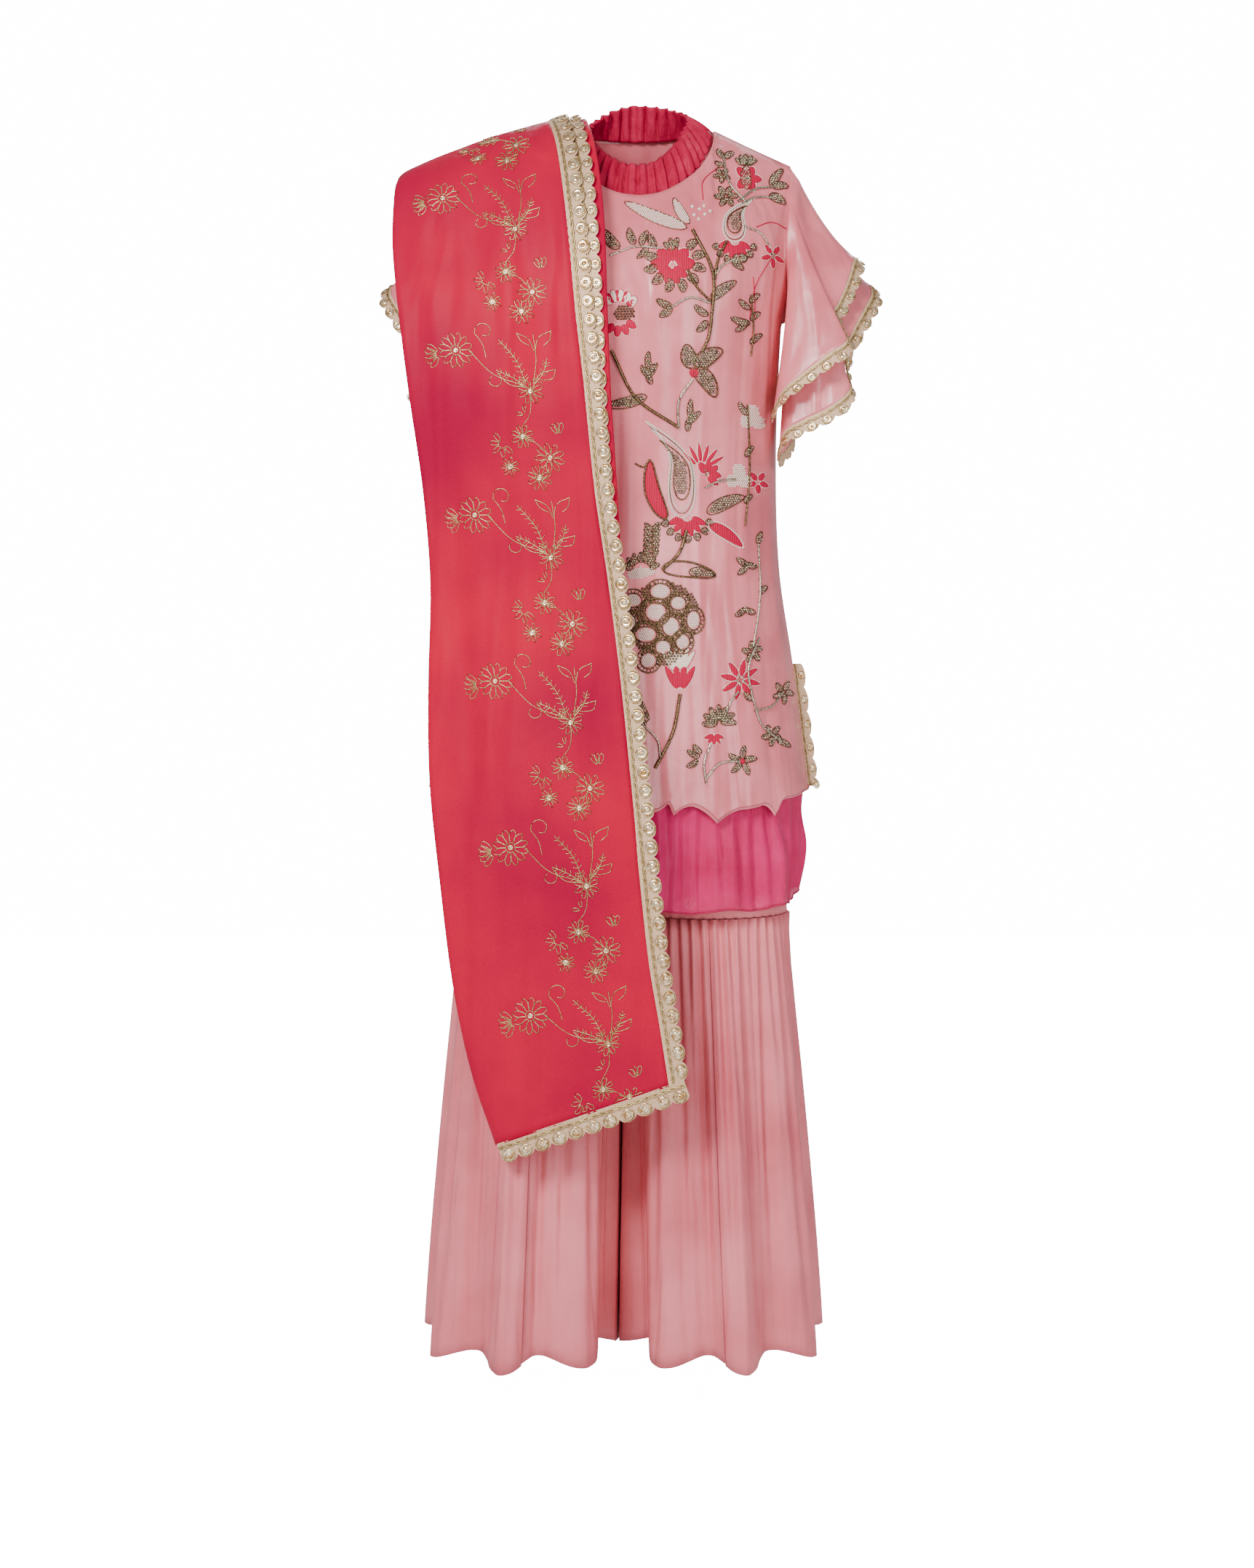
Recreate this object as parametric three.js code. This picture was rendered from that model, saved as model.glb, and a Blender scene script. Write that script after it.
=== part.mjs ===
// Sharara suit: a knee-length satin kurta with flounced sleeves, wide gathered
// trousers and a folded stole over the wearer's right shoulder.
// Units are millimetres. +X is the wearer's left, -Y the front, +Z up.
// The origin is the middle of the shoulders, at the height where the shoulder
// seams meet the neckline: the wearer's shoulders carry the suit there.
import * as THREE from "three";

// ---- driving sizes ----
const SATIN = 1.5; // wall of the kurta and the sleeves
const CHIFFON = 1.2; // wall of the sharara and the stole
const ORGANZA = 1.2; // wall of the frill under the hem
const RUFFLE = 1.4; // wall of the pleated collar
const LACE = 1.2; // thickness of the gold lace
const SEAM = 0.4; // space left between two pieces at a seam

const KURTA_SLIT_TOP = -610; // height where the side slits begin
const FRILL_SEAM = -742; // height where the organza frill is sewn in
const FRILL_GATHERS = 24; // gathers on each frill
const FRILL_WAVES = 7; // large waves at the lower edge of each frill
const FRILL_HEM = -886;
const FRILL_TAPER = 26; // how far the ends of the frill swing in under the sides

const COLLAR_PLEATS = 38;

const WAIST_TOP = -398;
const WAIST_SEAM = -432;
const CROTCH_DROP = 258; // from the waist seam down to the crotch
const BAND_TOP = -840; // embroidered band at the knee
const BAND_BOTTOM = -896;
const FLARE_HEM = -1385;
const FLARE_GATHERS = 48; // gathers at the top seam of each flare
const FLARE_FOLDS = 8; // large folds that they open into at the hem
const LEG_GAP = 1.2; // half of the space between the two legs

const LACE_PITCH = 21; // one scallop of the gold lace
const LACE_WIDTH = 24; // lace of the stole
const SLEEVE_LACE_WIDTH = 16;
const SLIT_LACE_WIDTH = 13;
const LACE_NOTCH = 5; // depth of the notch between two scallops

// ---- colours ----
const ROSE = "#c98b8f";
const MAGENTA = "#b8265c";
const CRIMSON = "#cf2347";
const CORAL = "#d3908d";
const RASPBERRY = "#b5283f";
const GOLD = "#b9a67c";

const suit = new THREE.Group();
const V = (x, y, z) => new THREE.Vector3(x, y, z);
const lerp = (a, b, t) => a + (b - a) * t;
const radians = THREE.MathUtils.degToRad;

// ---- closed walls from grids of points ----

function addMesh(name, points, triangles, colour, gloss) {
  const geometry = new THREE.BufferGeometry().setFromPoints(points);
  geometry.setIndex(triangles);
  geometry.computeVertexNormals();
  const material = new THREE.MeshStandardMaterial({
    color: colour,
    roughness: gloss ? 0.42 : 0.75,
    metalness: 0,
  });
  material.name = name;
  const mesh = new THREE.Mesh(geometry, material);
  mesh.name = name;
  suit.add(mesh);
}

// Outward direction at each point of a grid. Rows run down the cloth and
// columns anticlockwise seen from above.
function gridNormals(grid, closed) {
  const rows = grid.length;
  const cols = grid[0].length;
  return grid.map((row, j) =>
    row.map((point, i) => {
      const left = closed ? (i + cols - 1) % cols : Math.max(i - 1, 0);
      const right = closed ? (i + 1) % cols : Math.min(i + 1, cols - 1);
      const above = Math.max(j - 1, 0);
      const below = Math.min(j + 1, rows - 1);
      const along = row[right].clone().sub(row[left]);
      const down = grid[below][i].clone().sub(grid[above][i]);
      return down.cross(along).normalize();
    }),
  );
}

// One closed wall: `outer` points offset inward by the thickness, rims closed.
function wall(name, grid, thickness, colour, options = {}) {
  const { closed = false, centred = false, normals, gloss = false } = options;
  const rows = grid.length;
  const cols = grid[0].length;
  const outward = normals || gridNormals(grid, closed);
  const lift = centred ? thickness / 2 : 0;
  const points = [];
  for (const depth of [lift, lift - thickness])
    grid.forEach((row, j) =>
      row.forEach((p, i) => points.push(p.clone().addScaledVector(outward[j][i], depth))),
    );
  const outer = (j, i) => j * cols + (i % cols);
  const inner = (j, i) => rows * cols + outer(j, i);
  const triangles = [];
  const quad = (a, b, c, d) => triangles.push(a, b, c, a, c, d);
  const spans = closed ? cols : cols - 1;
  for (let i = 0; i < spans; i++) {
    for (let j = 0; j < rows - 1; j++) {
      quad(outer(j, i), outer(j + 1, i), outer(j + 1, i + 1), outer(j, i + 1));
      quad(inner(j, i), inner(j, i + 1), inner(j + 1, i + 1), inner(j + 1, i));
    }
    quad(outer(0, i), outer(0, i + 1), inner(0, i + 1), inner(0, i));
    const last = rows - 1;
    quad(outer(last, i + 1), outer(last, i), inner(last, i), inner(last, i + 1));
  }
  if (!closed)
    for (let j = 0; j < rows - 1; j++) {
      const end = cols - 1;
      quad(outer(j + 1, 0), outer(j, 0), inner(j, 0), inner(j + 1, 0));
      quad(outer(j, end), outer(j + 1, end), inner(j + 1, end), inner(j, end));
    }
  addMesh(name, points, triangles, colour, gloss);
}

// ---- scalloped lace along an edge ----

// Samples an edge at a share of its length, or of its points where each span
// carries one scallop: the point, the direction across the lace and the
// outward direction.
function edgeSampler(points, across, outward, closed, byPoint = false) {
  const count = points.length;
  const spans = closed ? count : count - 1;
  const lengths = [0];
  for (let k = 0; k < spans; k++)
    lengths.push(lengths[k] + (byPoint ? 1 : points[k].distanceTo(points[(k + 1) % count])));
  const total = lengths[spans];
  // The way straight off the edge, for the seam between cloth and lace.
  const clear = points.map((p, k) => {
    const before = points[closed ? (k + count - 1) % count : Math.max(k - 1, 0)];
    const after = points[closed ? (k + 1) % count : Math.min(k + 1, count - 1)];
    const along = after.clone().sub(before).normalize();
    return across[k].clone().addScaledVector(along, -across[k].dot(along)).normalize();
  });
  const at = (share) => {
    const length = share * total;
    let k = 0;
    while (k < spans - 1 && lengths[k + 1] < length) k++;
    const t = (length - lengths[k]) / (lengths[k + 1] - lengths[k]);
    const next = (k + 1) % count;
    const mix = (list) => list[k].clone().lerp(list[next], t);
    return {
      point: mix(points),
      across: mix(across).normalize(),
      clear: mix(clear).normalize(),
      outward: mix(outward).normalize(),
    };
  };
  return { at, total };
}

// A lace strip: straight along the cloth, one point a scallop at its far side.
function lace(name, edge, width, closed, options = {}) {
  const { from = 0, to = 1, offset = SEAM } = options;
  const scallops = options.scallops || Math.round((edge.total * (to - from)) / LACE_PITCH);
  const stations = closed ? scallops : scallops + 1;
  const points = [];
  const place = (share, reach, side) => {
    const { point, across, clear, outward } = edge.at(from + (to - from) * share);
    const p = point.addScaledVector(across, reach).addScaledVector(clear, offset);
    points.push(p.addScaledVector(outward, side * (LACE / 2)));
  };
  for (const side of [1, -1]) {
    for (let k = 0; k < stations; k++) place(k / scallops, 0, side);
    for (let k = 0; k < stations; k++) place(k / scallops, width - LACE_NOTCH, side);
    for (let k = 0; k < scallops; k++) place((k + 0.5) / scallops, width, side);
  }
  const layer = 2 * stations + scallops;
  const straight = (k) => k % stations;
  const notch = (k) => stations + (k % stations);
  const tip = (k) => 2 * stations + k;
  const triangles = [];
  const quad = (a, b, c, d) => triangles.push(a, b, c, a, c, d);
  for (let k = 0; k < scallops; k++) {
    const front = [
      [straight(k), notch(k), tip(k)],
      [straight(k), tip(k), straight(k + 1)],
      [straight(k + 1), tip(k), notch(k + 1)],
    ];
    for (const [a, b, c] of front) {
      triangles.push(a, b, c);
      triangles.push(layer + a, layer + c, layer + b);
    }
    const next = k + 1;
    quad(straight(k), straight(next), layer + straight(next), layer + straight(k));
    quad(tip(k), notch(k), layer + notch(k), layer + tip(k));
    quad(notch(next), tip(k), layer + tip(k), layer + notch(next));
  }
  if (!closed) {
    const end = scallops;
    quad(notch(0), straight(0), layer + straight(0), layer + notch(0));
    quad(straight(end), notch(end), layer + notch(end), layer + straight(end));
  }
  addMesh(name, points, triangles, GOLD, true);
}

// ---- kurta ----

// Body sections: half width, front and back depth, sideways shift.
const BODY = [
  // height, half width, front, back, shift
  [-230, 166, 126, 96, -2],
  [-370, 164, 118, 90, -5],
  [-500, 172, 122, 104, -9],
  [KURTA_SLIT_TOP, 191, 131, 118, -12],
  [FRILL_SEAM, 211, 144, 134, -15],
  [-766, 215, 148, 138, -16],
];

// One row for each column of a half panel, from the centre to the side seam:
// angle on the body, angle at the hem, hem height, then the neckline, shoulder
// and armhole point, and how far the chest swells in front of a straight line.
const FRONT_COLUMNS = [
  // body, hem, hem z,    x,   y,    z, swell
  [0, 0, -786, 0, -80, -85, 6],
  [6, 5.2, -767, 24, -77, -81, 8],
  [12, 8.8, -773, 48, -67, -68, 12],
  [18, 12.8, -764, 70, -48, -48, 18],
  [24, 14.9, -777, 84, -22, -21, 26],
  [31, 20.3, -767, 88, 2, 0, 32],
  [42, 28.8, -787, 131, 3, -20, 34],
  [54, 37.8, -772, 175, 2, -40, 22],
  [64, 46.5, -768, 172, -26, -80, 6],
  [73, 52.4, -781, 168, -38, -130, 0],
  [80, 58.9, -762, 169, -32, -162, 0],
  [85, 75, -756, 172, -15, -188, 0],
  [90, 88, -752, 176, 0, -200, 0],
];
const BACK_COLUMNS = [
  [0, 0, -786, 0, 60, 3, 10],
  [6, 5.2, -767, 24, 58, 3, 10],
  [12, 8.8, -773, 48, 50, 3, 12],
  [18, 12.8, -764, 70, 36, 2, 16],
  [24, 14.9, -777, 83, 18, 1, 20],
  [31, 20.3, -767, 88, 2, 0, 24],
  [42, 28.8, -787, 131, 3, -20, 26],
  [54, 37.8, -772, 175, 2, -40, 18],
  [64, 46.5, -768, 172, 32, -80, 4],
  [73, 52.4, -781, 168, 44, -130, 0],
  [80, 58.9, -762, 169, 36, -162, 0],
  [85, 75, -756, 172, 17, -188, 0],
  [90, 88, -752, 176, 0, -200, 0],
];
const CHEST_ROWS = [0.25, 0.6]; // shares of the way from the top edge to the bust
const SHOULDER_COLUMNS = [5, 6, 7];

// A point on the body section `row` at an angle from the centre line.
function bodyPoint(row, angle, facing) {
  const [z, half, front, back, shift] = BODY[row];
  const depth = facing < 0 ? front : back;
  const a = radians(angle);
  return V(shift + half * Math.sin(a), facing * depth * Math.cos(a), z);
}

// The columns of a whole panel run anticlockwise from side seam to side seam.
function kurtaPanel(facing) {
  const table = facing < 0 ? FRONT_COLUMNS : BACK_COLUMNS;
  const sides = table.length - 1;
  const columns = [];
  for (let k = -sides; k <= sides; k++) columns.push(facing < 0 ? k : -k);
  const last = BODY.length - 1;
  const seamShift = (facing * SEAM) / 2;
  const grid = [];
  const build = (place) =>
    grid.push(
      columns.map((k) => {
        const side = k < 0 ? -1 : 1;
        const p = place(table[Math.abs(k)], side, Math.abs(k));
        return p;
      }),
    );
  const top = ([, , , x, y, z], side, k) =>
    V(side * x, y + (k >= SHOULDER_COLUMNS[0] ? seamShift : 0), z);
  build(top);
  for (const t of CHEST_ROWS)
    build((column, side, k) => {
      const start = top(column, side, k);
      const bust = bodyPoint(0, side * column[0], facing);
      const p = start.lerp(bust, t);
      p.y += facing * column[6] * 4 * t * (1 - t);
      if (k === sides) p.y = seamShift;
      return p;
    });
  for (let row = 0; row <= last; row++)
    build((column, side, k) => {
      const turn = row < 3 ? 0 : (row - 2) / (last - 2);
      const p = bodyPoint(row, side * lerp(column[0], column[1], turn), facing);
      if (row === last) p.z = column[2];
      if (k === sides && row <= 3) p.y = seamShift;
      return p;
    });
  const normals = gridNormals(grid, false);
  normals.forEach((row, j) =>
    row.forEach((n, i) => {
      const k = Math.abs(columns[i]);
      const shoulderSeam = j === 0 && SHOULDER_COLUMNS.includes(k);
      if (shoulderSeam || k === sides) n.setY(0).normalize();
    }),
  );
  return { grid, normals, columns };
}

const front = kurtaPanel(-1);
const back = kurtaPanel(1);
wall("kurta_front", front.grid, SATIN, ROSE, { normals: front.normals, gloss: true });
wall("kurta_back", back.grid, SATIN, ROSE, { normals: back.normals, gloss: true });

// Lace at the slit edges of the front panel. The left edge is followed upward
// and the right one downward, so that both strips face the front.
const SLIT_ROW = 1 + CHEST_ROWS.length + 3; // row of the panels where the slits begin
for (const [name, side] of [
  ["lace_slit_right", -1],
  ["lace_slit_left", 1],
]) {
  const column = side > 0 ? front.grid[0].length - 1 : 0;
  const points = front.grid.slice(SLIT_ROW).map((row) => row[column].clone());
  if (side > 0) points.reverse();
  const across = points.map(() => V(side, 0, 0));
  const outward = points.map(() => V(0, -1, 0));
  lace(name, edgeSampler(points, across, outward, false), SLIT_LACE_WIDTH, false);
}

// ---- pleated collar ----
const neckline = [];
{
  const half = 5;
  const pick = (table, k) => {
    const [, , , x, y, z] = table[Math.abs(k)];
    return V(Math.sign(k) * x, y, z);
  };
  for (let k = -half; k <= half; k++) neckline.push(pick(FRONT_COLUMNS, k));
  for (let k = half - 1; k > -half; k--) neckline.push(pick(BACK_COLUMNS, k));
}
// Upper edge of the collar: share of the neckline kept, and its height.
const COLLAR_TOP = { width: 0.66, depthFront: 50, depthBack: 47, frontZ: -46, sideZ: 14, backZ: 37 };
const COLLAR_PRESS = 13; // how far the stole presses the ruffle down on its side
{
  const loop = edgeSampler(neckline, neckline, neckline, true);
  const stations = 2 * COLLAR_PLEATS;
  const grid = [[], []];
  for (let k = 0; k < stations; k++) {
    const base = loop.at(k / stations).point;
    const radial = V(base.x, base.y, 0).normalize();
    const pleat = k % 2 ? 1 : -1;
    grid[1].push(base.clone().addScaledVector(radial, 1.6 * pleat - 1).add(V(0, 0, 2.6)));
    const toFront = Math.max(0, -radial.y);
    const toBack = Math.max(0, radial.y);
    const reach = 88 * COLLAR_TOP.width;
    const deep = radial.y < 0 ? COLLAR_TOP.depthFront : COLLAR_TOP.depthBack;
    const z =
      lerp(COLLAR_TOP.sideZ, COLLAR_TOP.frontZ, toFront ** 1.6) +
      (COLLAR_TOP.backZ - COLLAR_TOP.sideZ) * toBack ** 1.2 -
      COLLAR_PRESS * Math.max(0, -radial.x) ** 2;
    const spread = 1 + (3.2 * pleat) / 60;
    grid[0].push(V(radial.x * reach * spread, radial.y * deep * spread, z + pleat * 1.2));
  }
  wall("collar_frill", grid, RUFFLE, RASPBERRY, { closed: true, gloss: true });
}

// ---- flounced sleeves ----

// One row for each control point round the left sleeve, from the front, over
// the outside, to the back and under the arm. The flounces fold back on
// themselves in front, so their hems cross the sleeve in two steps.
const SLEEVE = [
  // armhole x, y, z,   upper hem x, y, z,   lower hem x, y, z
  [171, -30, -172, 152, -70, -325, 160, -48, -372],
  [169, -35, -150, 162, -81, -304, 165, -64, -349],
  [169, -37, -132, 184, -88, -285, 186, -74, -336],
  [170, -35, -112, 212, -92, -264, 215, -80, -322],
  [171, -32, -96, 233, -89, -249, 238, -75, -302],
  [172, -30, -88, 229, -76, -232, 234, -63, -279],
  [172, -27, -80, 221, -63, -213, 234, -53, -258],
  [173, -23, -70, 227, -52, -202, 244, -42, -233],
  [174, -16, -58, 238, -40, -177, 258, -28, -207],
  [175, -8, -47, 246, -24, -152, 268, -12, -187],
  [176, 2, -41, 248, 0, -144, 264, 8, -173],
  [174, 18, -52, 242, 40, -155, 251, 34, -184],
  [172, 32, -76, 226, 72, -195, 232, 60, -225],
  [170, 43, -110, 196, 84, -232, 206, 77, -262],
  [169, 43, -145, 180, 78, -262, 189, 63, -300],
  [171, 31, -178, 173, 46, -272, 182, 33, -325],
  [176, 6, -199, 171, 2, -276, 181, -2, -338],
  [173, -18, -190, 162, -41, -298, 176, -26, -354],
];
const SLEEVE_POINTS = 32; // points round each ring, one to a scallop of the lace
const SLEEVE_ROWS = [0, 0.34, 0.7, 1];
const UPPER_HEM = 3;
const LOWER_HEM = 6;
const ARMHOLE_GAP = 1.6;
const UPPER_SAG = 13;
const LOWER_SAG = 8;

const smoothLoop = (controls) => new THREE.CatmullRomCurve3(controls, true, "catmullrom", 0.5);

// Builds one sleeve on the wearer's left (side 1) or right (side -1). The hems
// stand off the armhole by `spread` times the table and `shift` further out.
function sleeve(side, label, spread, shift) {
  const at = (row, start) => {
    const x = start ? 172 + (row[start] - 172) * spread + shift : row[0];
    return V(x, row[start + 1], row[start + 2]);
  };
  const [holeLoop, upperLoop, lowerLoop] = [0, UPPER_HEM, LOWER_HEM].map((start) =>
    smoothLoop(SLEEVE.map((row) => at(row, start))),
  );
  // The columns lie one scallop apart along the upper hem.
  const params = [];
  for (let k = 0; k < SLEEVE_POINTS; k++)
    params.push(upperLoop.getUtoTmapping(k / SLEEVE_POINTS));
  const armhole = params.map((t) => holeLoop.getPoint(t));
  armhole.forEach((p) => p.setX(p.x + ARMHOLE_GAP));
  const upperHem = params.map((t) => upperLoop.getPoint(t));
  const lowerHem = params.map((t) => lowerLoop.getPoint(t));
  // Both flounces sag between their seam and their hem, most on top of the arm.
  const sag = (from, to, t, depth) =>
    from.map((p, i) => {
      const onTop = ((armhole[i].z + 200) / 160) ** 1.5;
      const q = p.clone().lerp(to[i], t);
      return q.setZ(q.z - depth * onTop * 4 * t * (1 - t));
    });
  const upper = SLEEVE_ROWS.map((t) => sag(armhole, upperHem, t, UPPER_SAG));
  const upperNormals = gridNormals(upper, true);
  upperNormals[0].forEach((n) => n.setX(0).normalize());
  // The lower flounce is sewn inside the upper one, a third of the way down.
  const seam = upper[1].map((p, i) =>
    p.clone().addScaledVector(upperNormals[1][i], -(SATIN + SEAM)),
  );
  const lower = [0, 0.5, 1].map((t) => sag(seam, lowerHem, t, LOWER_SAG));
  const lowerNormals = gridNormals(lower, true);
  lowerNormals[0] = upperNormals[1];
  const turn = (rows) =>
    side > 0 ? rows : rows.map((row) => [...row].reverse().map((p) => V(-p.x, p.y, p.z)));
  for (const [tier, grid, normals] of [
    ["upper", turn(upper), turn(upperNormals)],
    ["lower", turn(lower), turn(lowerNormals)],
  ]) {
    wall("sleeve_" + label + "_" + tier, grid, SATIN, ROSE, { closed: true, normals, gloss: true });
    const last = grid.length - 1;
    const outward = normals[last];
    const hem = grid[last].map((p, i) => p.clone().addScaledVector(outward[i], -SATIN / 2));
    const across = grid[last].map((p, i) => p.clone().sub(grid[last - 1][i]).normalize());
    const edge = edgeSampler(hem, across, outward, true, true);
    lace("lace_sleeve_" + label + "_" + tier, edge, SLEEVE_LACE_WIDTH, true, {
      offset: 2 * SEAM,
      scallops: SLEEVE_POINTS,
    });
  }
}
sleeve(1, "left", 1, 0);
sleeve(-1, "right", 1.12, 5);

// ---- organza frill ----
// How far the frill stands out from its seam, and how it drops, at each row.
const FRILL_ROWS = [
  // share of the drop, outward, gather depth, wave depth
  [0, 0, 1.3, 0],
  [0.3, -0.5, 1.5, 1],
  [0.62, 9, 2, 8],
  [1, 12, 1.5, 11],
];
for (const [name, panel, facing] of [
  ["organza_frill_front", front, -1],
  ["organza_frill_back", back, 1],
]) {
  const row = panel.grid.length - 2;
  const inside = panel.grid[row].map((p, i) =>
    p.clone().addScaledVector(panel.normals[row][i], -(SATIN + SEAM)),
  );
  const seam = edgeSampler(inside, panel.normals[row], panel.normals[row], false);
  const stations = 2 * FRILL_GATHERS;
  const grid = FRILL_ROWS.map(([share, out, gather, wave]) => {
    const line = [];
    for (let k = 0; k <= stations; k++) {
      const { point, outward } = seam.at(0.012 + 0.976 * (k / stations));
      const level = V(outward.x, outward.y, 0).normalize();
      const sideways = Math.abs(k / stations - 0.5) * 2;
      const flute = Math.cos((k / stations) * FRILL_WAVES * 2 * Math.PI);
      const depth =
        out * (1 + 0.5 * sideways ** 4) +
        (k % 2 ? 0 : -1) * gather * 2 +
        wave * (flute - 1) * 0.5 * (share > 0.5 ? 1 : 0.4);
      const z = FRILL_SEAM + (FRILL_HEM - FRILL_SEAM) * share * (1 - 0.12 * sideways ** 6);
      const taper = FRILL_TAPER * share * share * sideways ** 6;
      point.addScaledVector(level, depth).setZ(z + 2 * flute * share);
      line.push(point.setX(point.x - Math.sign(point.x) * taper));
    }
    return line;
  });
  wall(name, grid, ORGANZA, MAGENTA, { gloss: true });
}

// ---- sharara: waistband, two trouser halves, knee bands and flares ----
const HIP_SHIFT = -17; // middle of the legs
const WAIST = { half: 136, deep: 90, y: -14 };

function ring(cx, cy, rx, ry, z, count, start = -90) {
  const line = [];
  for (let k = 0; k < count; k++) {
    const a = radians(start + (360 * k) / count);
    line.push(V(cx + rx * Math.cos(a), cy + ry * Math.sin(a), z));
  }
  return line;
}
const waistX = -8;
wall(
  "sharara_waistband",
  [WAIST_TOP, WAIST_SEAM + SEAM + 0.4].map((z) =>
    ring(waistX, WAIST.y, WAIST.half, WAIST.deep, z, 32),
  ),
  CHIFFON,
  CORAL,
  { closed: true },
);

// Sections of one trouser half: height, middle of the leg, half width, half
// depth, middle in depth.
const THIGH = [
  [-720, 85, 83, 98, -12],
  [-790, 90, 88, 96, -11],
  [BAND_TOP + SEAM + 0.4, 94.5, 92, 95, -10],
];
const LEG_POINTS = 24;
const BAND_POINTS = 36;
function thigh(side, label) {
  const top = [];
  for (let k = 0; k < LEG_POINTS; k++) {
    const q = k / LEG_POINTS;
    const a = q * 2 * Math.PI;
    const outer = q <= 0.5;
    const x = outer ? SEAM + WAIST.half * Math.sin(a) : SEAM;
    const drop = outer ? 0 : CROTCH_DROP * Math.sin(a - Math.PI) ** 0.7;
    top.push(V(x, WAIST.y - WAIST.deep * Math.cos(a), WAIST_SEAM - drop));
  }
  const legs = THIGH.map(([z, cx, rx, ry, cy]) => ring(cx, cy, rx, ry, z, LEG_POINTS));
  const middle = [0.55].map((t) => top.map((p, i) => p.clone().lerp(legs[0][i], t)));
  const grid = [top, ...middle, ...legs];
  grid.forEach((row, j) =>
    row.forEach((p) => {
      const shift = lerp(waistX, HIP_SHIFT, Math.min(j / 2, 1));
      p.setX(shift + side * Math.max(p.x, LEG_GAP / 2));
    }),
  );
  const turned = side > 0 ? grid : grid.map((row) => [...row].reverse());
  const normals = gridNormals(turned, true);
  normals[0].forEach((n) => n.setX(Math.abs(n.x) > 0.2 ? n.x : 0).normalize());
  wall("sharara_thigh_" + label, turned, CHIFFON, CORAL, { closed: true, normals });
}
thigh(1, "left");
thigh(-1, "right");

const FLARE = [
  // share of the length, middle of the leg, half width, half depth, middle in depth
  [0, 96, 94, 97, -10],
  [0.12, 98, 96, 110, -10],
  [0.36, 102, 100, 132, -10],
  [0.66, 107, 105, 157, -10],
  [1, 113, 111, 180, -10],
];
function flare(side, label) {
  const stations = 2 * FLARE_GATHERS;
  const grid = FLARE.map(([share, cx, rx, ry, cy]) => {
    const z = lerp(BAND_BOTTOM - 0.8, FLARE_HEM, share);
    return ring(cx, cy, rx, ry, z, stations).map((p, k) => {
      const gather = (k % 2 ? 1 : -1) * lerp(2.6, 1.2, share);
      const phase = (k / stations) * FLARE_FOLDS * 2 * Math.PI;
      const fold = 15 * share ** 0.8 * Math.sin(phase + 0.6 * Math.sin(phase / 3));
      const level = V((p.x - cx) / rx, (p.y - cy) / ry, 0).normalize();
      p.addScaledVector(level, gather + fold);
      p.z -= share === 1 ? 7 * Math.sin(phase) : 0;
      const x = Math.max(p.x, LEG_GAP + CHIFFON);
      return p.setX(HIP_SHIFT + side * x);
    });
  });
  const turned = side > 0 ? grid : grid.map((row) => [...row].reverse());
  wall("flare_" + label, turned, CHIFFON, CORAL, { closed: true });
}
function kneeBand(side, label) {
  const grid = [
    [BAND_TOP, 94.5, 92, 95],
    [BAND_BOTTOM, 96, 94, 97],
  ].map(([z, cx, rx, ry]) =>
    ring(cx, -10, rx, ry, z, BAND_POINTS).map((p) => p.setX(HIP_SHIFT + side * p.x)),
  );
  const turned = side > 0 ? grid : grid.map((row) => [...row].reverse());
  wall("knee_band_" + label, turned, SATIN, CORAL, { closed: true });
}
for (const [side, label] of [
  [1, "left"],
  [-1, "right"],
]) {
  kneeBand(side, label);
  flare(side, label);
}

// ---- stole: four layers folded in a spiral, over the right shoulder ----

// The innermost layer at each station, from the front hem, over the shoulder,
// to the back hem: arm-side point, neck-side point, then how far the neck-side
// edges of the outermost layer and of the one under it stop short of it.
const STOLE = [
  // arm x, y, z,      neck x, y, z,     outer short, under short
  [-156, -172, -1140, 37, -204, -1068, 1, 5],
  [-184, -166, -1056, 27, -198, -1004, 1, 5],
  [-204, -162, -960, 17, -194, -932, 3, 7],
  [-218, -156, -850, 9, -186, -832, 6, 9],
  [-230, -140, -740, 1, -176, -730, 8, 10],
  [-232, -122, -630, -8, -164, -624, 10, 10],
  [-230, -106, -520, -17, -156, -518, 14, 12],
  [-238, -101, -415, -23, -152, -414, 23, 12],
  [-253, -103, -310, -30, -147, -310, 27, 12],
  [-265, -91, -220, -34, -139, -214, 34, 12],
  [-274, -64, -142, -37, -124, -130, 38, 14],
  [-274, -44, -84, -43, -94, -66, 40, 14],
  [-272, -24, -65, -50, -66, -24, 40, 14],
  [-270, -8, -59, -57, -34, 1, 40, 14],
  [-268, 6, -56, -61, 0, 11, 40, 14],
  [-268, 24, -61, -67, 42, 10, 40, 14],
  [-268, 46, -86, -66, 85, -26, 40, 14],
  [-264, 66, -152, -62, 108, -112, 36, 14],
  [-257, 92, -270, -52, 116, -250, 30, 12],
  [-240, 100, -430, -36, 118, -420, 26, 12],
  [-222, 116, -610, -20, 136, -606, 20, 12],
  [-214, 140, -800, -8, 158, -798, 14, 12],
  [-206, 160, -1000, 0, 178, -990, 10, 12],
];
const LAYER = 2.8; // from one layer to the next
const CROWN = 7; // how far the middle of the strip swells
const FRONT_END = 11; // station where the front fall meets the shoulder stretch
const BACK_START = 16;

const stoleStations = STOLE.map((row) => ({
  arm: V(row[0], row[1], row[2]),
  neck: V(row[3], row[4], row[5]),
  outerShort: row[6],
  underShort: row[7],
}));
const stoleOutward = stoleStations.map((station, j) => {
  const before = stoleStations[Math.max(j - 1, 0)];
  const after = stoleStations[Math.min(j + 1, stoleStations.length - 1)];
  const way = after.arm.clone().add(after.neck).sub(before.arm).sub(before.neck);
  const width = station.neck.clone().sub(station.arm);
  return width.cross(way).normalize();
});

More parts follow.
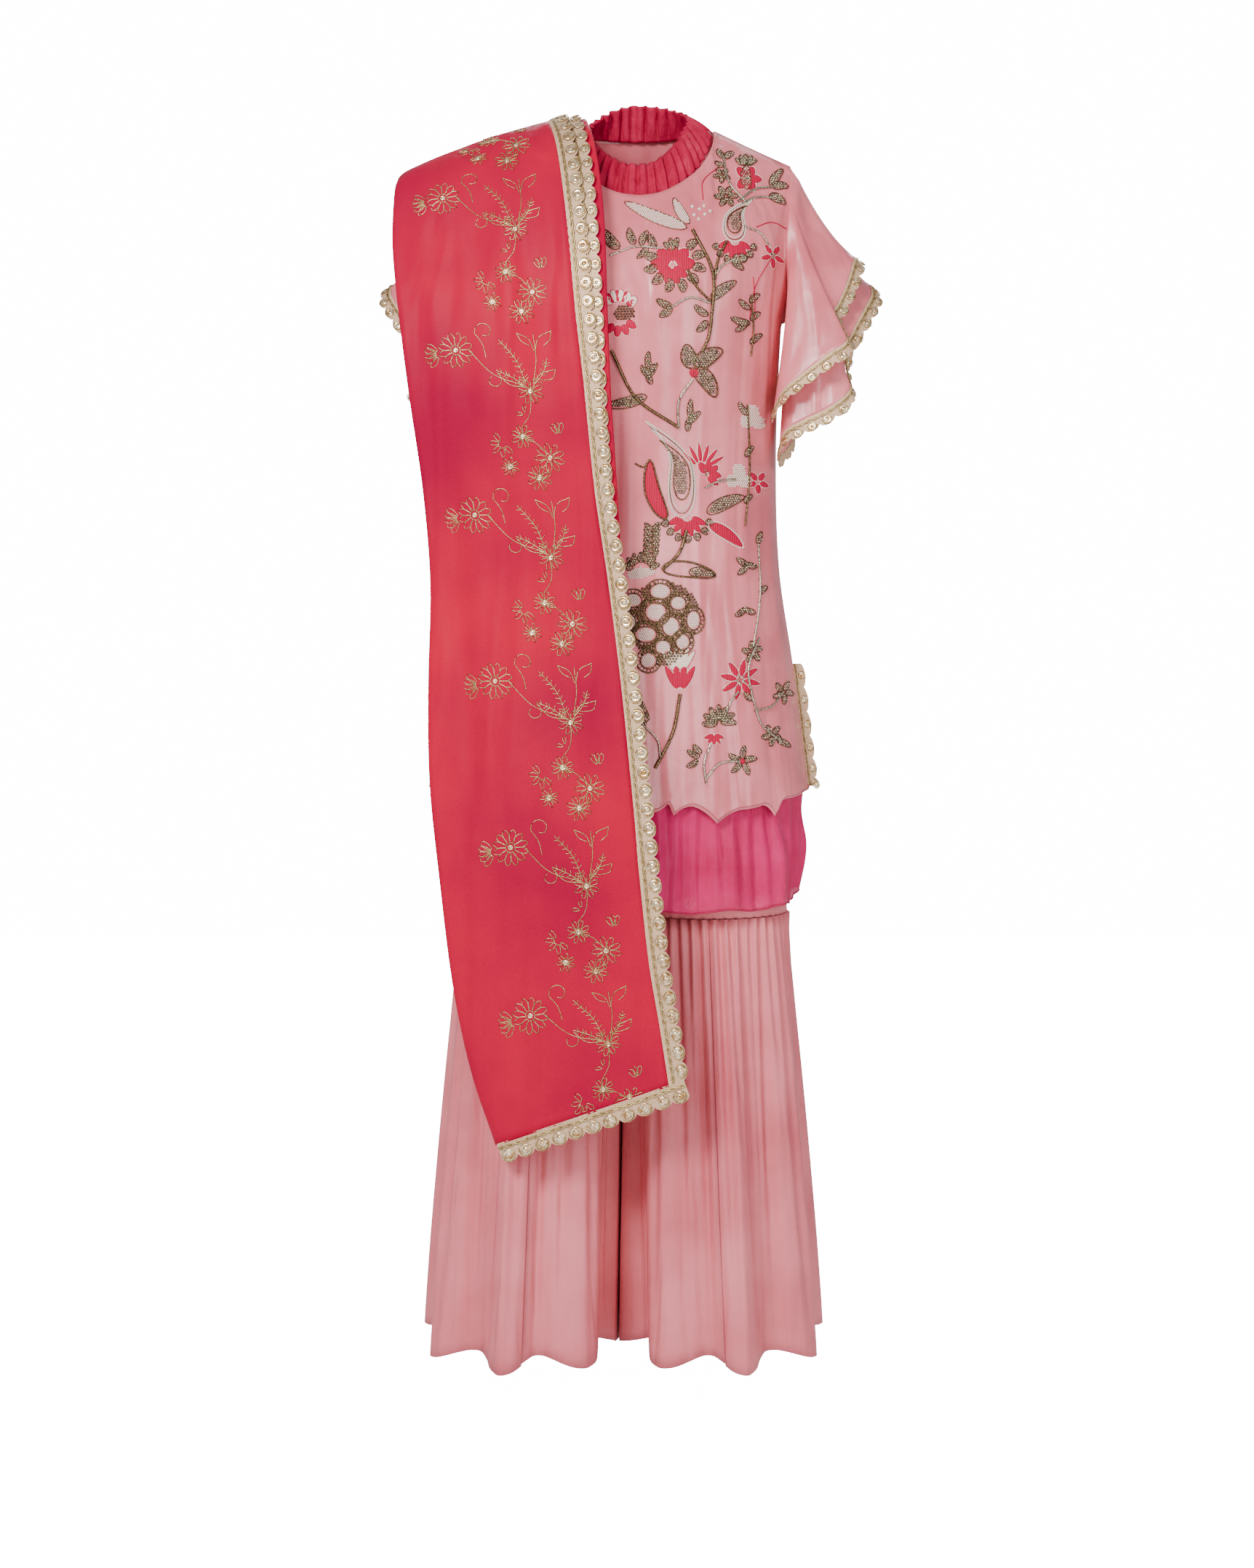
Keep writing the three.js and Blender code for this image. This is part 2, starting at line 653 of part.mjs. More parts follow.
// A point of the folded cloth: `s` across from the arm side, `d` outward.
function stolePoint(j, s, d) {
  const { arm, neck } = stoleStations[j];
  const width = neck.clone().sub(arm);
  const length = width.length();
  const share = THREE.MathUtils.clamp(s / length, 0, 1);
  const swell = CROWN * 4 * share * (1 - share);
  return arm
    .clone()
    .addScaledVector(width.normalize(), s)
    .addScaledVector(stoleOutward[j], d + swell);
}

// The section of the cloth from the outer edge, through its three folds, to
// the edge that lies under it.
const stoleGrid = stoleStations.map(({ arm, neck, outerShort, underShort }, j) => {
  const full = neck.distanceTo(arm);
  const outer = full - outerShort;
  const under = full - underShort - 8;
  const section = [
    [outer, 3 * LAYER],
    [outer * 0.66, 3 * LAYER],
    [outer * 0.33, 3 * LAYER],
    [6, 3 * LAYER],
    [1, 2.4 * LAYER],
    [-1, 1.5 * LAYER],
    [1, 0.6 * LAYER],
    [6, 0],
    [full * 0.33, 0],
    [full * 0.66, 0],
    [full - 2, 0],
    [full, LAYER / 2],
    [full - 2, LAYER],
    [full * 0.5, LAYER],
    [14, LAYER],
    [11, 1.5 * LAYER],
    [14, 2 * LAYER],
    [under * 0.5, 2 * LAYER],
    [under, 2 * LAYER],
  ];
  return section.map(([s, d]) => stolePoint(j, s, d));
});
// Seen from the front the outer edge is on the neck side, so the section runs
// anticlockwise and the rows, which climb from the front hem, are turned.
const stoleRows = [...stoleGrid].reverse();
const stoleNormals = gridNormals(stoleRows, false);
const lastStation = stoleRows.length - 1;
for (const [name, first, last] of [
  ["stole_back", 0, lastStation - BACK_START],
  ["stole_shoulder", lastStation - BACK_START, lastStation - FRONT_END],
  ["stole_front", lastStation - FRONT_END, lastStation],
]) {
  const rows = stoleRows.slice(first, last + 1).map((row) => row.map((p) => p.clone()));
  const normals = stoleNormals.slice(first, last + 1);
  const trim = (end, next) =>
    rows[end].forEach((p, i) => {
      const way = rows[next][i].clone().sub(p).normalize();
      p.addScaledVector(way, SEAM / 2);
    });
  if (first > 0) trim(0, 1);
  if (last < lastStation) trim(rows.length - 1, rows.length - 2);
  wall(name, rows, CHIFFON, CRIMSON, { normals, centred: true, gloss: true });
}

// Lace on the outer edge over the whole length, on the under edge as far as
// it shows, and on the two hems.
function stoleEdge(column, inner, from, to) {
  const rows = [];
  for (let j = from; j <= to; j++) rows.push(j);
  const points = rows.map((j) => stoleRows[j][column].clone());
  const across = rows.map((j) =>
    stoleRows[j][column].clone().sub(stoleRows[j][inner]).normalize(),
  );
  const outward = rows.map((j) => stoleNormals[j][column]);
  return { points, across, outward };
}
const lastColumn = stoleRows[0].length - 1;
const frontSplit = lastStation - FRONT_END;
for (const [name, column, inner, from, to] of [
  ["lace_stole_outer_front", 0, 1, frontSplit, lastStation],
  ["lace_stole_outer_back", 0, 1, 0, frontSplit],
  ["lace_stole_under", lastColumn, lastColumn - 1, frontSplit - 3, frontSplit + 5],
]) {
  const { points, across, outward } = stoleEdge(column, inner, from, to);
  if (column) [points, across, outward].forEach((list) => list.reverse());
  lace(name, edgeSampler(points, across, outward, false), LACE_WIDTH, false, {
    from: 0.003,
    to: 0.997,
  });
}
const OUTER_LAYER = 3; // last column of the outermost layer
for (const [name, row, inner] of [
  ["lace_stole_hem_front", lastStation, lastStation - 1],
  ["lace_stole_hem_back", 0, 1],
]) {
  const columns = [0, 1, 2, OUTER_LAYER];
  if (row === 0) columns.reverse();
  const points = columns.map((i) => stoleRows[row][i].clone());
  const across = columns.map((i) =>
    stoleRows[row][i].clone().sub(stoleRows[inner][i]).normalize(),
  );
  const outward = columns.map((i) => stoleNormals[row][i]);
  lace(name, edgeSampler(points, across, outward, false), LACE_WIDTH, false, {
    from: 0.004,
    to: 0.99,
  });
}

export default suit;
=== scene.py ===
"""Sharara suit: satin tunic with flounced sleeves, gathered trousers and a folded stole."""
import bisect
import math
import random

import bmesh
import bpy
from mathutils import Matrix, Vector
from mathutils.bvhtree import BVHTree


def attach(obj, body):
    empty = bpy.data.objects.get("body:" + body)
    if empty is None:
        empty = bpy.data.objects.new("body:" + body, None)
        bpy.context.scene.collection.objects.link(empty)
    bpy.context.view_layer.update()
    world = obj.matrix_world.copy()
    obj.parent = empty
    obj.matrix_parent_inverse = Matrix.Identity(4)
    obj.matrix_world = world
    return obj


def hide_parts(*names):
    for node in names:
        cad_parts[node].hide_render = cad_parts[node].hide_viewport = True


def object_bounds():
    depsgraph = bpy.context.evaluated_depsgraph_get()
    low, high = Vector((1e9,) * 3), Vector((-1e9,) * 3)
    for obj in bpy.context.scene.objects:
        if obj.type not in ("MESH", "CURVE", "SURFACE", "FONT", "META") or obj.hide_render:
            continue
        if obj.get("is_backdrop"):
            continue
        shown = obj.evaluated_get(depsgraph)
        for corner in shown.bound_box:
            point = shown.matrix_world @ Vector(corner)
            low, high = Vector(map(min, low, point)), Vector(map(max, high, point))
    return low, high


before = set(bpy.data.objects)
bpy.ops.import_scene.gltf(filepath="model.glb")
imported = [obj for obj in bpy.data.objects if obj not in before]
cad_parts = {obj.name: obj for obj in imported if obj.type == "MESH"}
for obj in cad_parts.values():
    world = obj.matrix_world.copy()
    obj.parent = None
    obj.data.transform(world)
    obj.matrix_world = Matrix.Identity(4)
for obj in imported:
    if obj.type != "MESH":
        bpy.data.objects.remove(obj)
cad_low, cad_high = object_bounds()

# Studio
# A pale floor that runs up into a pale wall, large soft lamps at both sides and
# a camera at chest height, tipped down a little, as in the photo.
MM = 0.001
CAMERA_AT = (-13, -3200, -560)
CAMERA_TILT = 3.4
FOCAL_LENGTH, SENSOR_HEIGHT = 42.2, 24
FLOOR_Z = -1446
FLOOR_SIZE = 9000
PAPER_GLOW = 16.0  # the paper is lit on its own, so the camera sees it brighter than the suit
ROOM_LIGHT = 0.5
LOOK_AT = (0, 0, -0.6)

lens = bpy.data.cameras.new("camera")
lens.sensor_fit = "VERTICAL"
lens.sensor_height = SENSOR_HEIGHT
lens.lens = FOCAL_LENGTH
camera = bpy.data.objects.new("camera", lens)
camera.location = Vector(CAMERA_AT) * MM
camera.rotation_euler = (math.radians(90 - CAMERA_TILT), 0, 0)
bpy.context.scene.collection.objects.link(camera)
bpy.context.scene.camera = camera


def linear(code):
    """An sRGB hex colour as linear red, green, blue and 1."""
    shares = [int(code[i : i + 2], 16) / 255 for i in (1, 3, 5)]
    return [c / 12.92 if c < 0.04045 else ((c + 0.055) / 1.055) ** 2.4 for c in shares] + [1.0]


def add_node(tree, kind, settings=(), links=()):
    """Adds a node, sets its properties and sockets, and links (socket, from node, output)."""
    node = tree.nodes.new(kind)
    for key, value in dict(settings).items():
        if isinstance(key, str) and hasattr(node, key):
            setattr(node, key, value)
        else:
            node.inputs[key].default_value = value
    for socket, source, output in links:
        tree.links.new(source.outputs[output], node.inputs[socket])
    return node


def finish_named(name, sockets):
    """A new material with its shader, joined to the output."""
    material = bpy.data.materials.new(name)
    material.use_nodes = True
    tree = material.node_tree
    tree.nodes.clear()
    shader = add_node(tree, "ShaderNodeBsdfPrincipled", sockets)
    add_node(tree, "ShaderNodeOutputMaterial", {}, [("Surface", shader, "BSDF")])
    return material, tree, shader


def straight_view(tree):
    """1 where the camera looks straight at a surface, 0 through sheer cloth and for light."""
    path = add_node(tree, "ShaderNodeLightPath")
    below = {"operation": "LESS_THAN", 1: 0.5}
    first = add_node(tree, "ShaderNodeMath", below, [(0, path, "Transparent Depth")])
    both = [(0, path, "Is Camera Ray"), (1, first, "Value")]
    return add_node(tree, "ShaderNodeMath", {"operation": "MULTIPLY"}, both)


# Matt white paper: no gloss, an even glow.
white = linear("#fffdfe")
backdrop_paint, tree, shader = finish_named(
    "backdrop_paper", {"Base Color": linear("#fbf9f9"), "Roughness": 0.9, "Emission Color": white}
)
times_glow = {"operation": "MULTIPLY", 1: PAPER_GLOW}
glow = add_node(tree, "ShaderNodeMath", times_glow, [(0, straight_view(tree), "Value")])
tree.links.new(glow.outputs["Value"], shader.inputs["Emission Strength"])
floor_mesh = bmesh.new()
bmesh.ops.create_grid(floor_mesh, x_segments=1, y_segments=1, size=FLOOR_SIZE * MM / 2)
bmesh.ops.translate(floor_mesh, verts=floor_mesh.verts, vec=(0, 0, FLOOR_Z * MM))
floor_data = bpy.data.meshes.new("floor")
floor_mesh.to_mesh(floor_data)
floor_mesh.free()
floor_data.materials.append(backdrop_paint)
floor = bpy.data.objects.new("floor", floor_data)
bpy.context.scene.collection.objects.link(floor)
floor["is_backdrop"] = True

sky = bpy.data.worlds.new("studio")
sky.use_nodes = True
tree = sky.node_tree
behind = tree.nodes["Background"]
behind.inputs["Color"].default_value = linear("#fdfbfc")
behind.inputs["Strength"].default_value = ROOM_LIGHT
lit_wall = add_node(tree, "ShaderNodeBackground", {"Color": white, "Strength": PAPER_GLOW})
parts = [("Fac", straight_view(tree), "Value"), (1, behind, "Background"), (2, lit_wall, "Background")]
wall_mix = add_node(tree, "ShaderNodeMixShader", {}, parts)
tree.links.new(wall_mix.outputs["Shader"], tree.nodes["World Output"].inputs["Surface"])
bpy.context.scene.world = sky
for name, spot, power, size in [
    # place in metres, watts, width in metres
    ("key_lamp", (-1.3, -2.6, 1.1), 115, 1.0),
    ("fill_lamp", (1.5, -2.6, 0.1), 36, 1.2),
    ("back_lamp", (0.4, 2.2, 1.2), 40, 1.6),
]:
    lamp = bpy.data.lights.new(name, "AREA")
    lamp.energy = power
    lamp.size = size
    stand = bpy.data.objects.new(name, lamp)
    stand.location = spot
    stand.rotation_euler = (Vector(LOOK_AT) - Vector(spot)).to_track_quat("-Z", "Y").to_euler()
    bpy.context.scene.collection.objects.link(stand)

# Kurta
# The tunic's front and back panels: dusty rose silk satin, cut flared, sewn at
# the shoulders and sides, slit at the sides and cut in ogee scallops at the hem.
SATIN = 0.8
SLIT_TOP = -610
FRILL_SEAM = -742
BODY = [
    # height, half width, front, back, shift
    [-230, 166, 126, 96, -2],
    [-370, 164, 118, 90, -5],
    [-500, 172, 122, 104, -9],
    [SLIT_TOP, 191, 131, 118, -12],
    [FRILL_SEAM, 211, 144, 134, -15],
    [-766, 215, 148, 138, -16],
]
FRONT_COLUMNS = [
    # body angle, hem angle, hem z, top x, y, z, swell of the chest
    [0, 0, -786, 0, -80, -85, 6],
    [6, 5.2, -767, 24, -77, -81, 8],
    [12, 8.8, -773, 48, -67, -68, 12],
    [18, 12.8, -764, 70, -48, -48, 18],
    [24, 14.9, -777, 84, -22, -21, 26],
    [31, 20.3, -767, 88, 2, 0, 32],
    [42, 28.8, -787, 131, 3, -20, 34],
    [54, 37.8, -772, 175, 2, -40, 22],
    [64, 46.5, -768, 172, -26, -80, 6],
    [73, 52.4, -781, 168, -38, -130, 0],
    [80, 58.9, -762, 169, -32, -162, 0],
    [85, 75, -756, 172, -15, -188, 0],
    [90, 88, -752, 176, 0, -200, 0],
]
BACK_COLUMNS = [
    [0, 0, -786, 0, 60, 3, 10],
    [6, 5.2, -767, 24, 58, 3, 10],
    [12, 8.8, -773, 48, 50, 3, 12],
    [18, 12.8, -764, 70, 36, 2, 16],
    [24, 14.9, -777, 83, 18, 1, 20],
    [31, 20.3, -767, 88, 2, 0, 24],
    [42, 28.8, -787, 131, 3, -20, 26],
    [54, 37.8, -772, 175, 2, -40, 18],
    [64, 46.5, -768, 172, 32, -80, 4],
    [73, 52.4, -781, 168, 44, -130, 0],
    [80, 58.9, -762, 169, 36, -162, 0],
    [85, 75, -756, 172, 17, -188, 0],
    [90, 88, -752, 176, 0, -200, 0],
]
SIDE = len(FRONT_COLUMNS) - 1
NECK_END, SHOULDER_END = 5, 7  # columns where the neckline and the shoulder end
CHEST_ROWS = [0.25, 0.6]
ROW_SHARES = [0, 0.08, 0.16, 0.25, 0.44, 0.61, 0.755, 0.93, 1]
# How the hem runs from each column to the next: into a round scallop, out of
# it, down to a point or up from a point.
HEM_RUNS = ["up", "in", "out", "down", "up", "down", "up", "out", "down", "up", "out", "out"]


def lerp(a, b, t):
    return a + (b - a) * t


def smooth(keys, values, x):
    """A smooth curve through values at rising keys."""
    last = len(keys) - 1
    k = 0
    while k < last - 1 and x > keys[k + 1]:
        k += 1
    span = keys[k + 1] - keys[k]
    t = min(max((x - keys[k]) / span, 0), 1)

    def slope(i):
        a, b = max(i - 1, 0), min(i + 1, last)
        return (values[b] - values[a]) / (keys[b] - keys[a]) * span

    a, b = values[k], values[k + 1]
    t2, t3 = t * t, t * t * t
    start, end = slope(k), slope(k + 1)
    return a * (2 * t3 - 3 * t2 + 1) + start * (t3 - 2 * t2 + t) + b * (3 * t2 - 2 * t3) + end * (t3 - t2)


def ripple(*phases):
    """A slow, uneven wave between -1 and 1."""
    return sum(math.sin(p) for p in phases) / len(phases)


def top_edge(table, column):
    """The neckline, shoulder or armhole point at a column."""
    if column <= NECK_END:
        first, last = 0, NECK_END
    elif column <= SHOULDER_END:
        first, last = NECK_END, SHOULDER_END
    else:
        first, last = SHOULDER_END, SIDE
    keys = list(range(first, last + 1))
    return [smooth(keys, [table[k][axis] for k in keys], column) for axis in (3, 4, 5)]


def hem_height(table, column):
    k = min(int(column), SIDE - 1)
    a, b, t = table[k][2], table[k + 1][2], column - k
    run = HEM_RUNS[k]
    if run == "down":
        return lerp(a, b, t**1.7)
    if run == "up":
        return lerp(b, a, (1 - t) ** 1.7)
    return lerp(a, b, math.sin(t * math.pi / 2) if run == "in" else 1 - math.cos(t * math.pi / 2))


def kurta_point(facing, column, share):
    """A point of a panel: column from -SIDE to SIDE, share from its top edge to its hem."""
    table = FRONT_COLUMNS if facing < 0 else BACK_COLUMNS
    side = -1 if column < 0 else 1
    column = abs(column)
    keys = list(range(SIDE + 1))
    body_angle = smooth(keys, [row[0] for row in table], column)
    hem_angle = smooth(keys, [row[1] for row in table], column)
    swell = smooth(keys, [row[6] for row in table], column)
    x, y, z = top_edge(table, column)
    rows = [[side * x, y, z]]
    for height, half, front, back, shift in BODY:
        turn = max(0, (len(rows) - 3) / 3) if len(rows) > 3 else 0
        a = math.radians(lerp(body_angle, hem_angle, turn))
        depth = front if facing < 0 else back
        rows.append([shift + side * half * math.sin(a), facing * depth * math.cos(a), height])
    for t in reversed(CHEST_ROWS):
        bust = rows[1] if t == CHEST_ROWS[-1] else rows[2]
        row = [lerp(a, b, t) for a, b in zip(rows[0], bust)]
        row[1] += facing * swell * 4 * t * (1 - t)
        rows.insert(1, row)
    rows[-1][2] = hem_height(table, column)
    return [smooth(ROW_SHARES, [row[axis] for row in rows], share) for axis in range(3)]


def panel_place(facing):
    def place(u, w):
        column = lerp(-SIDE, SIDE, u) * -facing
        x, y, z = kurta_point(facing, column, w)
        # Soft falls down the skirt and a few slack creases at the armholes.
        fall = ripple(column * 1.1 + 0.4, column * 2.3 - 1.2, column * 0.6 + w * 2)
        crease = ripple(column * 3 + w * 34, column * 1.7 - w * 21) * max(0, 1 - abs(w - 0.22) / 0.2)
        armhole = max(0, (abs(column) - 6) / 6)
        y += facing * (fall * 2.2 * w + crease * 2.0 * armhole)
        return x, y, z

    return place


def cloth(name, place, across, along, cut, thickness, material, closed=False):
    """A sheet laid as a grid of `across` by `along` parts; its UV map is in metres on the cut."""
    bm = bmesh.new()
    bmesh.ops.create_grid(bm, x_segments=across, y_segments=along, size=0.5)
    shares = {v: (v.co.x + 0.5, 0.5 - v.co.y) for v in bm.verts}
    layer = bm.loops.layers.uv.new("cut")
    for face in bm.faces:
        face.smooth = True
        for loop in face.loops:
            u, w = shares[loop.vert]
            loop[layer].uv = (u * cut[0], w * cut[1])
    for v, (u, w) in shares.items():
        v.co = Vector(place(u, w)) * MM
    if closed:
        bmesh.ops.remove_doubles(bm, verts=bm.verts, dist=1e-6)
    data = bpy.data.meshes.new(name)
    bm.to_mesh(data)
    bm.free()
    data.materials.append(material)
    piece = bpy.data.objects.new(name, data)
    bpy.context.scene.collection.objects.link(piece)
    if thickness:
        wall = piece.modifiers.new("wall", "SOLIDIFY")
        wall.thickness = thickness * MM
        wall.offset = -1
    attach(piece, "root")
    return piece


# Silk satin: float threads on the face catch the light in a soft broad gloss,
# and the cloth keeps faint slack creases.
def woven(name, tones, gloss, shine, crease_mm, fall_mm, thread_mm, see_through=0.0):
    """A cloth of two tones with creases, long folds and a thread of their sizes in millimetres."""
    material, tree, shader = finish_named(
        name, {"Roughness": gloss, "Specular IOR Level": shine, "Alpha": 1 - see_through}
    )
    place = add_node(tree, "ShaderNodeTexCoord")
    cut = add_node(tree, "ShaderNodeUVMap", {"uv_map": "cut"})
    cloud = add_node(
        tree,
        "ShaderNodeTexNoise",
        {"Scale": 1 / (crease_mm * 2.5 * MM), "Detail": 3.0, "Roughness": 0.55},
        [("Vector", place, "Object")],
    )
    ramp = add_node(tree, "ShaderNodeValToRGB", {}, [("Fac", cloud, "Fac")])
    for stop, position, code in zip(ramp.color_ramp.elements, (0.3, 0.7), tones):
        stop.position = position
        stop.color = linear(code)
    tree.links.new(ramp.outputs["Color"], shader.inputs["Base Color"])
    weft = add_node(
        tree,
        "ShaderNodeTexWave",
        {"bands_direction": "Y", "Scale": 1 / (thread_mm * MM) / 6.28, "Distortion": 0.6, "Detail": 1.0},
        [("Vector", cut, "UV")],
    )
    slack = add_node(
        tree,
        "ShaderNodeTexNoise",
        {"Scale": 1 / (crease_mm * MM), "Detail": 2.0, "Distortion": 0.6},
        [("Vector", place, "Object")],
    )
    fine = {"Strength": 0.06, "Distance": 0.0004}
    threads = add_node(tree, "ShaderNodeBump", fine, [("Height", weft, "Fac")])
    creases = add_node(
        tree,
        "ShaderNodeBump",
        {"Strength": 0.35, "Distance": 0.004},
        [("Height", slack, "Fac"), ("Normal", threads, "Normal")],
    )
    # Long soft folds run down the cloth.
    stretch = add_node(tree, "ShaderNodeMapping", {"Scale": (1, 1, 0.07)}, [("Vector", place, "Object")])
    fall = add_node(
        tree,
        "ShaderNodeTexNoise",
        {"Scale": 1 / (fall_mm * MM), "Detail": 2.0, "Distortion": 0.3},
        [("Vector", stretch, "Vector")],
    )
    folds = add_node(
        tree,
        "ShaderNodeBump",
        {"Strength": 1.0, "Distance": fall_mm * 0.25 * MM},
        [("Height", fall, "Fac"), ("Normal", creases, "Normal")],
    )
    tree.links.new(folds.outputs["Normal"], shader.inputs["Normal"])
    return material


rose_satin = woven("rose_silk_satin", ("#cb5e69", "#f0838b"), 0.3, 0.6, 45, 42, 1.2)
KURTA_CUT = (0.52, 0.80)
for name, facing, node in [("kurta_front_panel", -1, "kurta_front"), ("kurta_back_panel", 1, "kurta_back")]:
    panel = cloth(name, panel_place(facing), 192, 80, KURTA_CUT, SATIN, rose_satin)
    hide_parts(node)

# Sleeves
# Two satin flounces a side, the lower sewn inside the upper a third of the way
# down; their hems swing forward in folds. Same satin as the kurta.
SLEEVE = [
    # armhole x, y, z, upper hem x, y, z, lower hem x, y, z
    [171, -30, -172, 152, -70, -325, 160, -48, -372],
    [169, -35, -150, 162, -81, -304, 165, -64, -349],
    [169, -37, -132, 184, -88, -285, 186, -74, -336],
    [170, -35, -112, 212, -92, -264, 215, -80, -322],
    [171, -32, -96, 233, -89, -249, 238, -75, -302],
    [172, -30, -88, 229, -76, -232, 234, -63, -279],
    [172, -27, -80, 221, -63, -213, 234, -53, -258],
    [173, -23, -70, 227, -52, -202, 244, -42, -233],
    [174, -16, -58, 238, -40, -177, 258, -28, -207],
    [175, -8, -47, 246, -24, -152, 268, -12, -187],
    [176, 2, -41, 248, 0, -144, 264, 8, -173],
    [174, 18, -52, 242, 40, -155, 251, 34, -184],
    [172, 32, -76, 226, 72, -195, 232, 60, -225],
    [170, 43, -110, 196, 84, -232, 206, 77, -262],
    [169, 43, -145, 180, 78, -262, 189, 63, -300],
    [171, 31, -178, 173, 46, -272, 182, 33, -325],
    [176, 6, -199, 171, 2, -276, 181, -2, -338],
    [173, -18, -190, 162, -41, -298, 176, -26, -354],
]
ARMHOLE_GAP = 1.6
UPPER_SAG, LOWER_SAG = 13, 8  # how far the flounces sag on top of the arm
FLOUNCE_SEAM = 0.34  # where the lower flounce is sewn to the upper one
SLEEVE_SCALLOPS = 32
SEWN = 0.1  # the share of the upper flounce that bends in to its seam


def loop_point(points, t):
    """A closed smooth curve through points, t from 0 to 1."""
    count = len(points)
    k, f = divmod((t % 1) * count, 1)
    around = [points[(int(k) + i) % count] for i in (-1, 0, 1, 2)]
    return Vector(
        [
            0.5 * (2 * q + (r - p) * f + (2 * p - 5 * q + 4 * r - s) * f * f + (3 * q - p - 3 * r + s) * f**3)
            for p, q, r, s in zip(*around)
        ]
    )


def run_of(spots):
    """The length from the first spot to each one."""
    lengths = [0]
    for a, b in zip(spots, spots[1:]):
        lengths.append(lengths[-1] + (Vector(b) - Vector(a)).length)
    return lengths


def even_steps(curve, samples=360):
    """A function that turns a share of a curve's length into its parameter."""
    lengths = run_of([curve(k / samples) for k in range(samples + 1)])

    def at(share):
        goal = share * lengths[-1]
        k = min(max(bisect.bisect(lengths, goal) - 1, 0), samples - 1)
        return (k + (goal - lengths[k]) / (lengths[k + 1] - lengths[k])) / samples

    at.total = lengths[-1]
    return at


def outward(place, u, w, step=0.004):
    """The way out of a sheet at a point of it."""
    along = Vector(place(u + step, w)) - Vector(place(u - step, w))
    down = Vector(place(u, min(w + step, 1))) - Vector(place(u, max(w - step, 0)))
    return down.cross(along).normalized()


def armhole_rim(side):
    """The edge that the kurta's panels leave for one arm, as if on the left."""
    rim = []
    for facing in (-1, 1):
        place = panel_place(facing)
        for k in range(201):
            x, y, z = place(0.5 - side * facing * lerp(SHOULDER_END, SIDE, k / 200) / SIDE / 2, 0)
            rim.append(Vector((x * side, y, z)))
    return rim


def flounces(side, spread, shift):
    """The places of the upper and the lower flounce of one sleeve."""
    rim = armhole_rim(side)
    loops = []
    for start in (0, 3, 6):
        loop = []
        for row in SLEEVE:
            x, y, z = row[start : start + 3]
            loop.append((172 + (x - 172) * spread + shift if start else x + ARMHOLE_GAP, y, z))
        loops.append(loop)
    hole, upper_hem, lower_hem = loops
    even = even_steps(lambda t: loop_point(upper_hem, t))

    def turned(place):
        def turned_place(u, w):
            p = place(u % 1 if side > 0 else (1 - u) % 1, w)
            return p.x * side, p.y, p.z

        return turned_place

    def sag(t, w, depth):
        on_top = max((loop_point(hole, t).z + 200) / 160, 0) ** 1.5
        return Vector((0, 0, depth * on_top * 4 * w * (1 - w)))

    def upper(u, w):
        t = even(u % 1)
        p = loop_point(hole, t).lerp(loop_point(upper_hem, t), w) - sag(t, w, UPPER_SAG)
        fold = ripple(t * 44 + w * 2, t * 25 + 1.3) * 2.2 * w * (1 - w) * 3
        if w < SEWN:
            # The seam lies just under the kurta's edge, with no light between them.
            start = loop_point(hole, t)
            edge = min(rim, key=lambda q: (q - start).length_squared)
            p += (edge - start - Vector((0.8, 0, 0))) * (1 - w / SEWN)
        return p + Vector((0.5, math.cos(t * 6.28) * -1, 0.4)) * fold

    def lower(u, w):
        t = even(u % 1)
        seam = upper(u, FLOUNCE_SEAM) - outward(upper, u, FLOUNCE_SEAM) * 2.4
        return seam.lerp(loop_point(lower_hem, t), w) - sag(t, w, LOWER_SAG)

    return turned(upper), turned(lower)


SLEEVE_CUT = {"upper": (0.67, 0.17, 0.055), "lower": (0.68, 0.16, 0.058)}  # width, length, area
sleeve_places = {}
for label, side, spread, shift in [("left", 1, 1.0, 0), ("right", -1, 1.12, 5)]:
    for tier, place in zip(("upper", "lower"), flounces(side, spread, shift)):
        node = f"sleeve_{label}_{tier}"
        *cut, area = SLEEVE_CUT[tier]
        flounce = cloth(f"{node}_flounce", place, 224, 30, cut, SATIN, rose_satin, closed=True)
        sleeve_places[node] = place
        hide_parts(node)

# Collar
# A ruffle of raspberry silk that stands round the neck, pleated by hand, so
# that no pleat is as deep as the next; a seam runs round under its top edge.
PLEATS = 38
COLLAR_REACH, COLLAR_DEEP = 58.1, (50, 47)
COLLAR_TOP = {"front": -46, "side": 14, "back": 37}
COLLAR_PRESS = 13  # how far the stole presses the ruffle down on its side
draw = random.Random(11)
pleat_depth = [draw.uniform(0.7, 1.25) for _ in range(PLEATS)]
pleat_lean = [draw.uniform(-0.9, 0.9) for _ in range(PLEATS)]
neckline = [
    (math.copysign(1, k) * table[abs(k)][3], table[abs(k)][4], table[abs(k)][5])
    for table, columns in ((FRONT_COLUMNS, range(-5, 6)), (BACK_COLUMNS, range(4, -5, -1)))
    for k in columns
]
even_neck = even_steps(lambda t: loop_point(neckline, t))


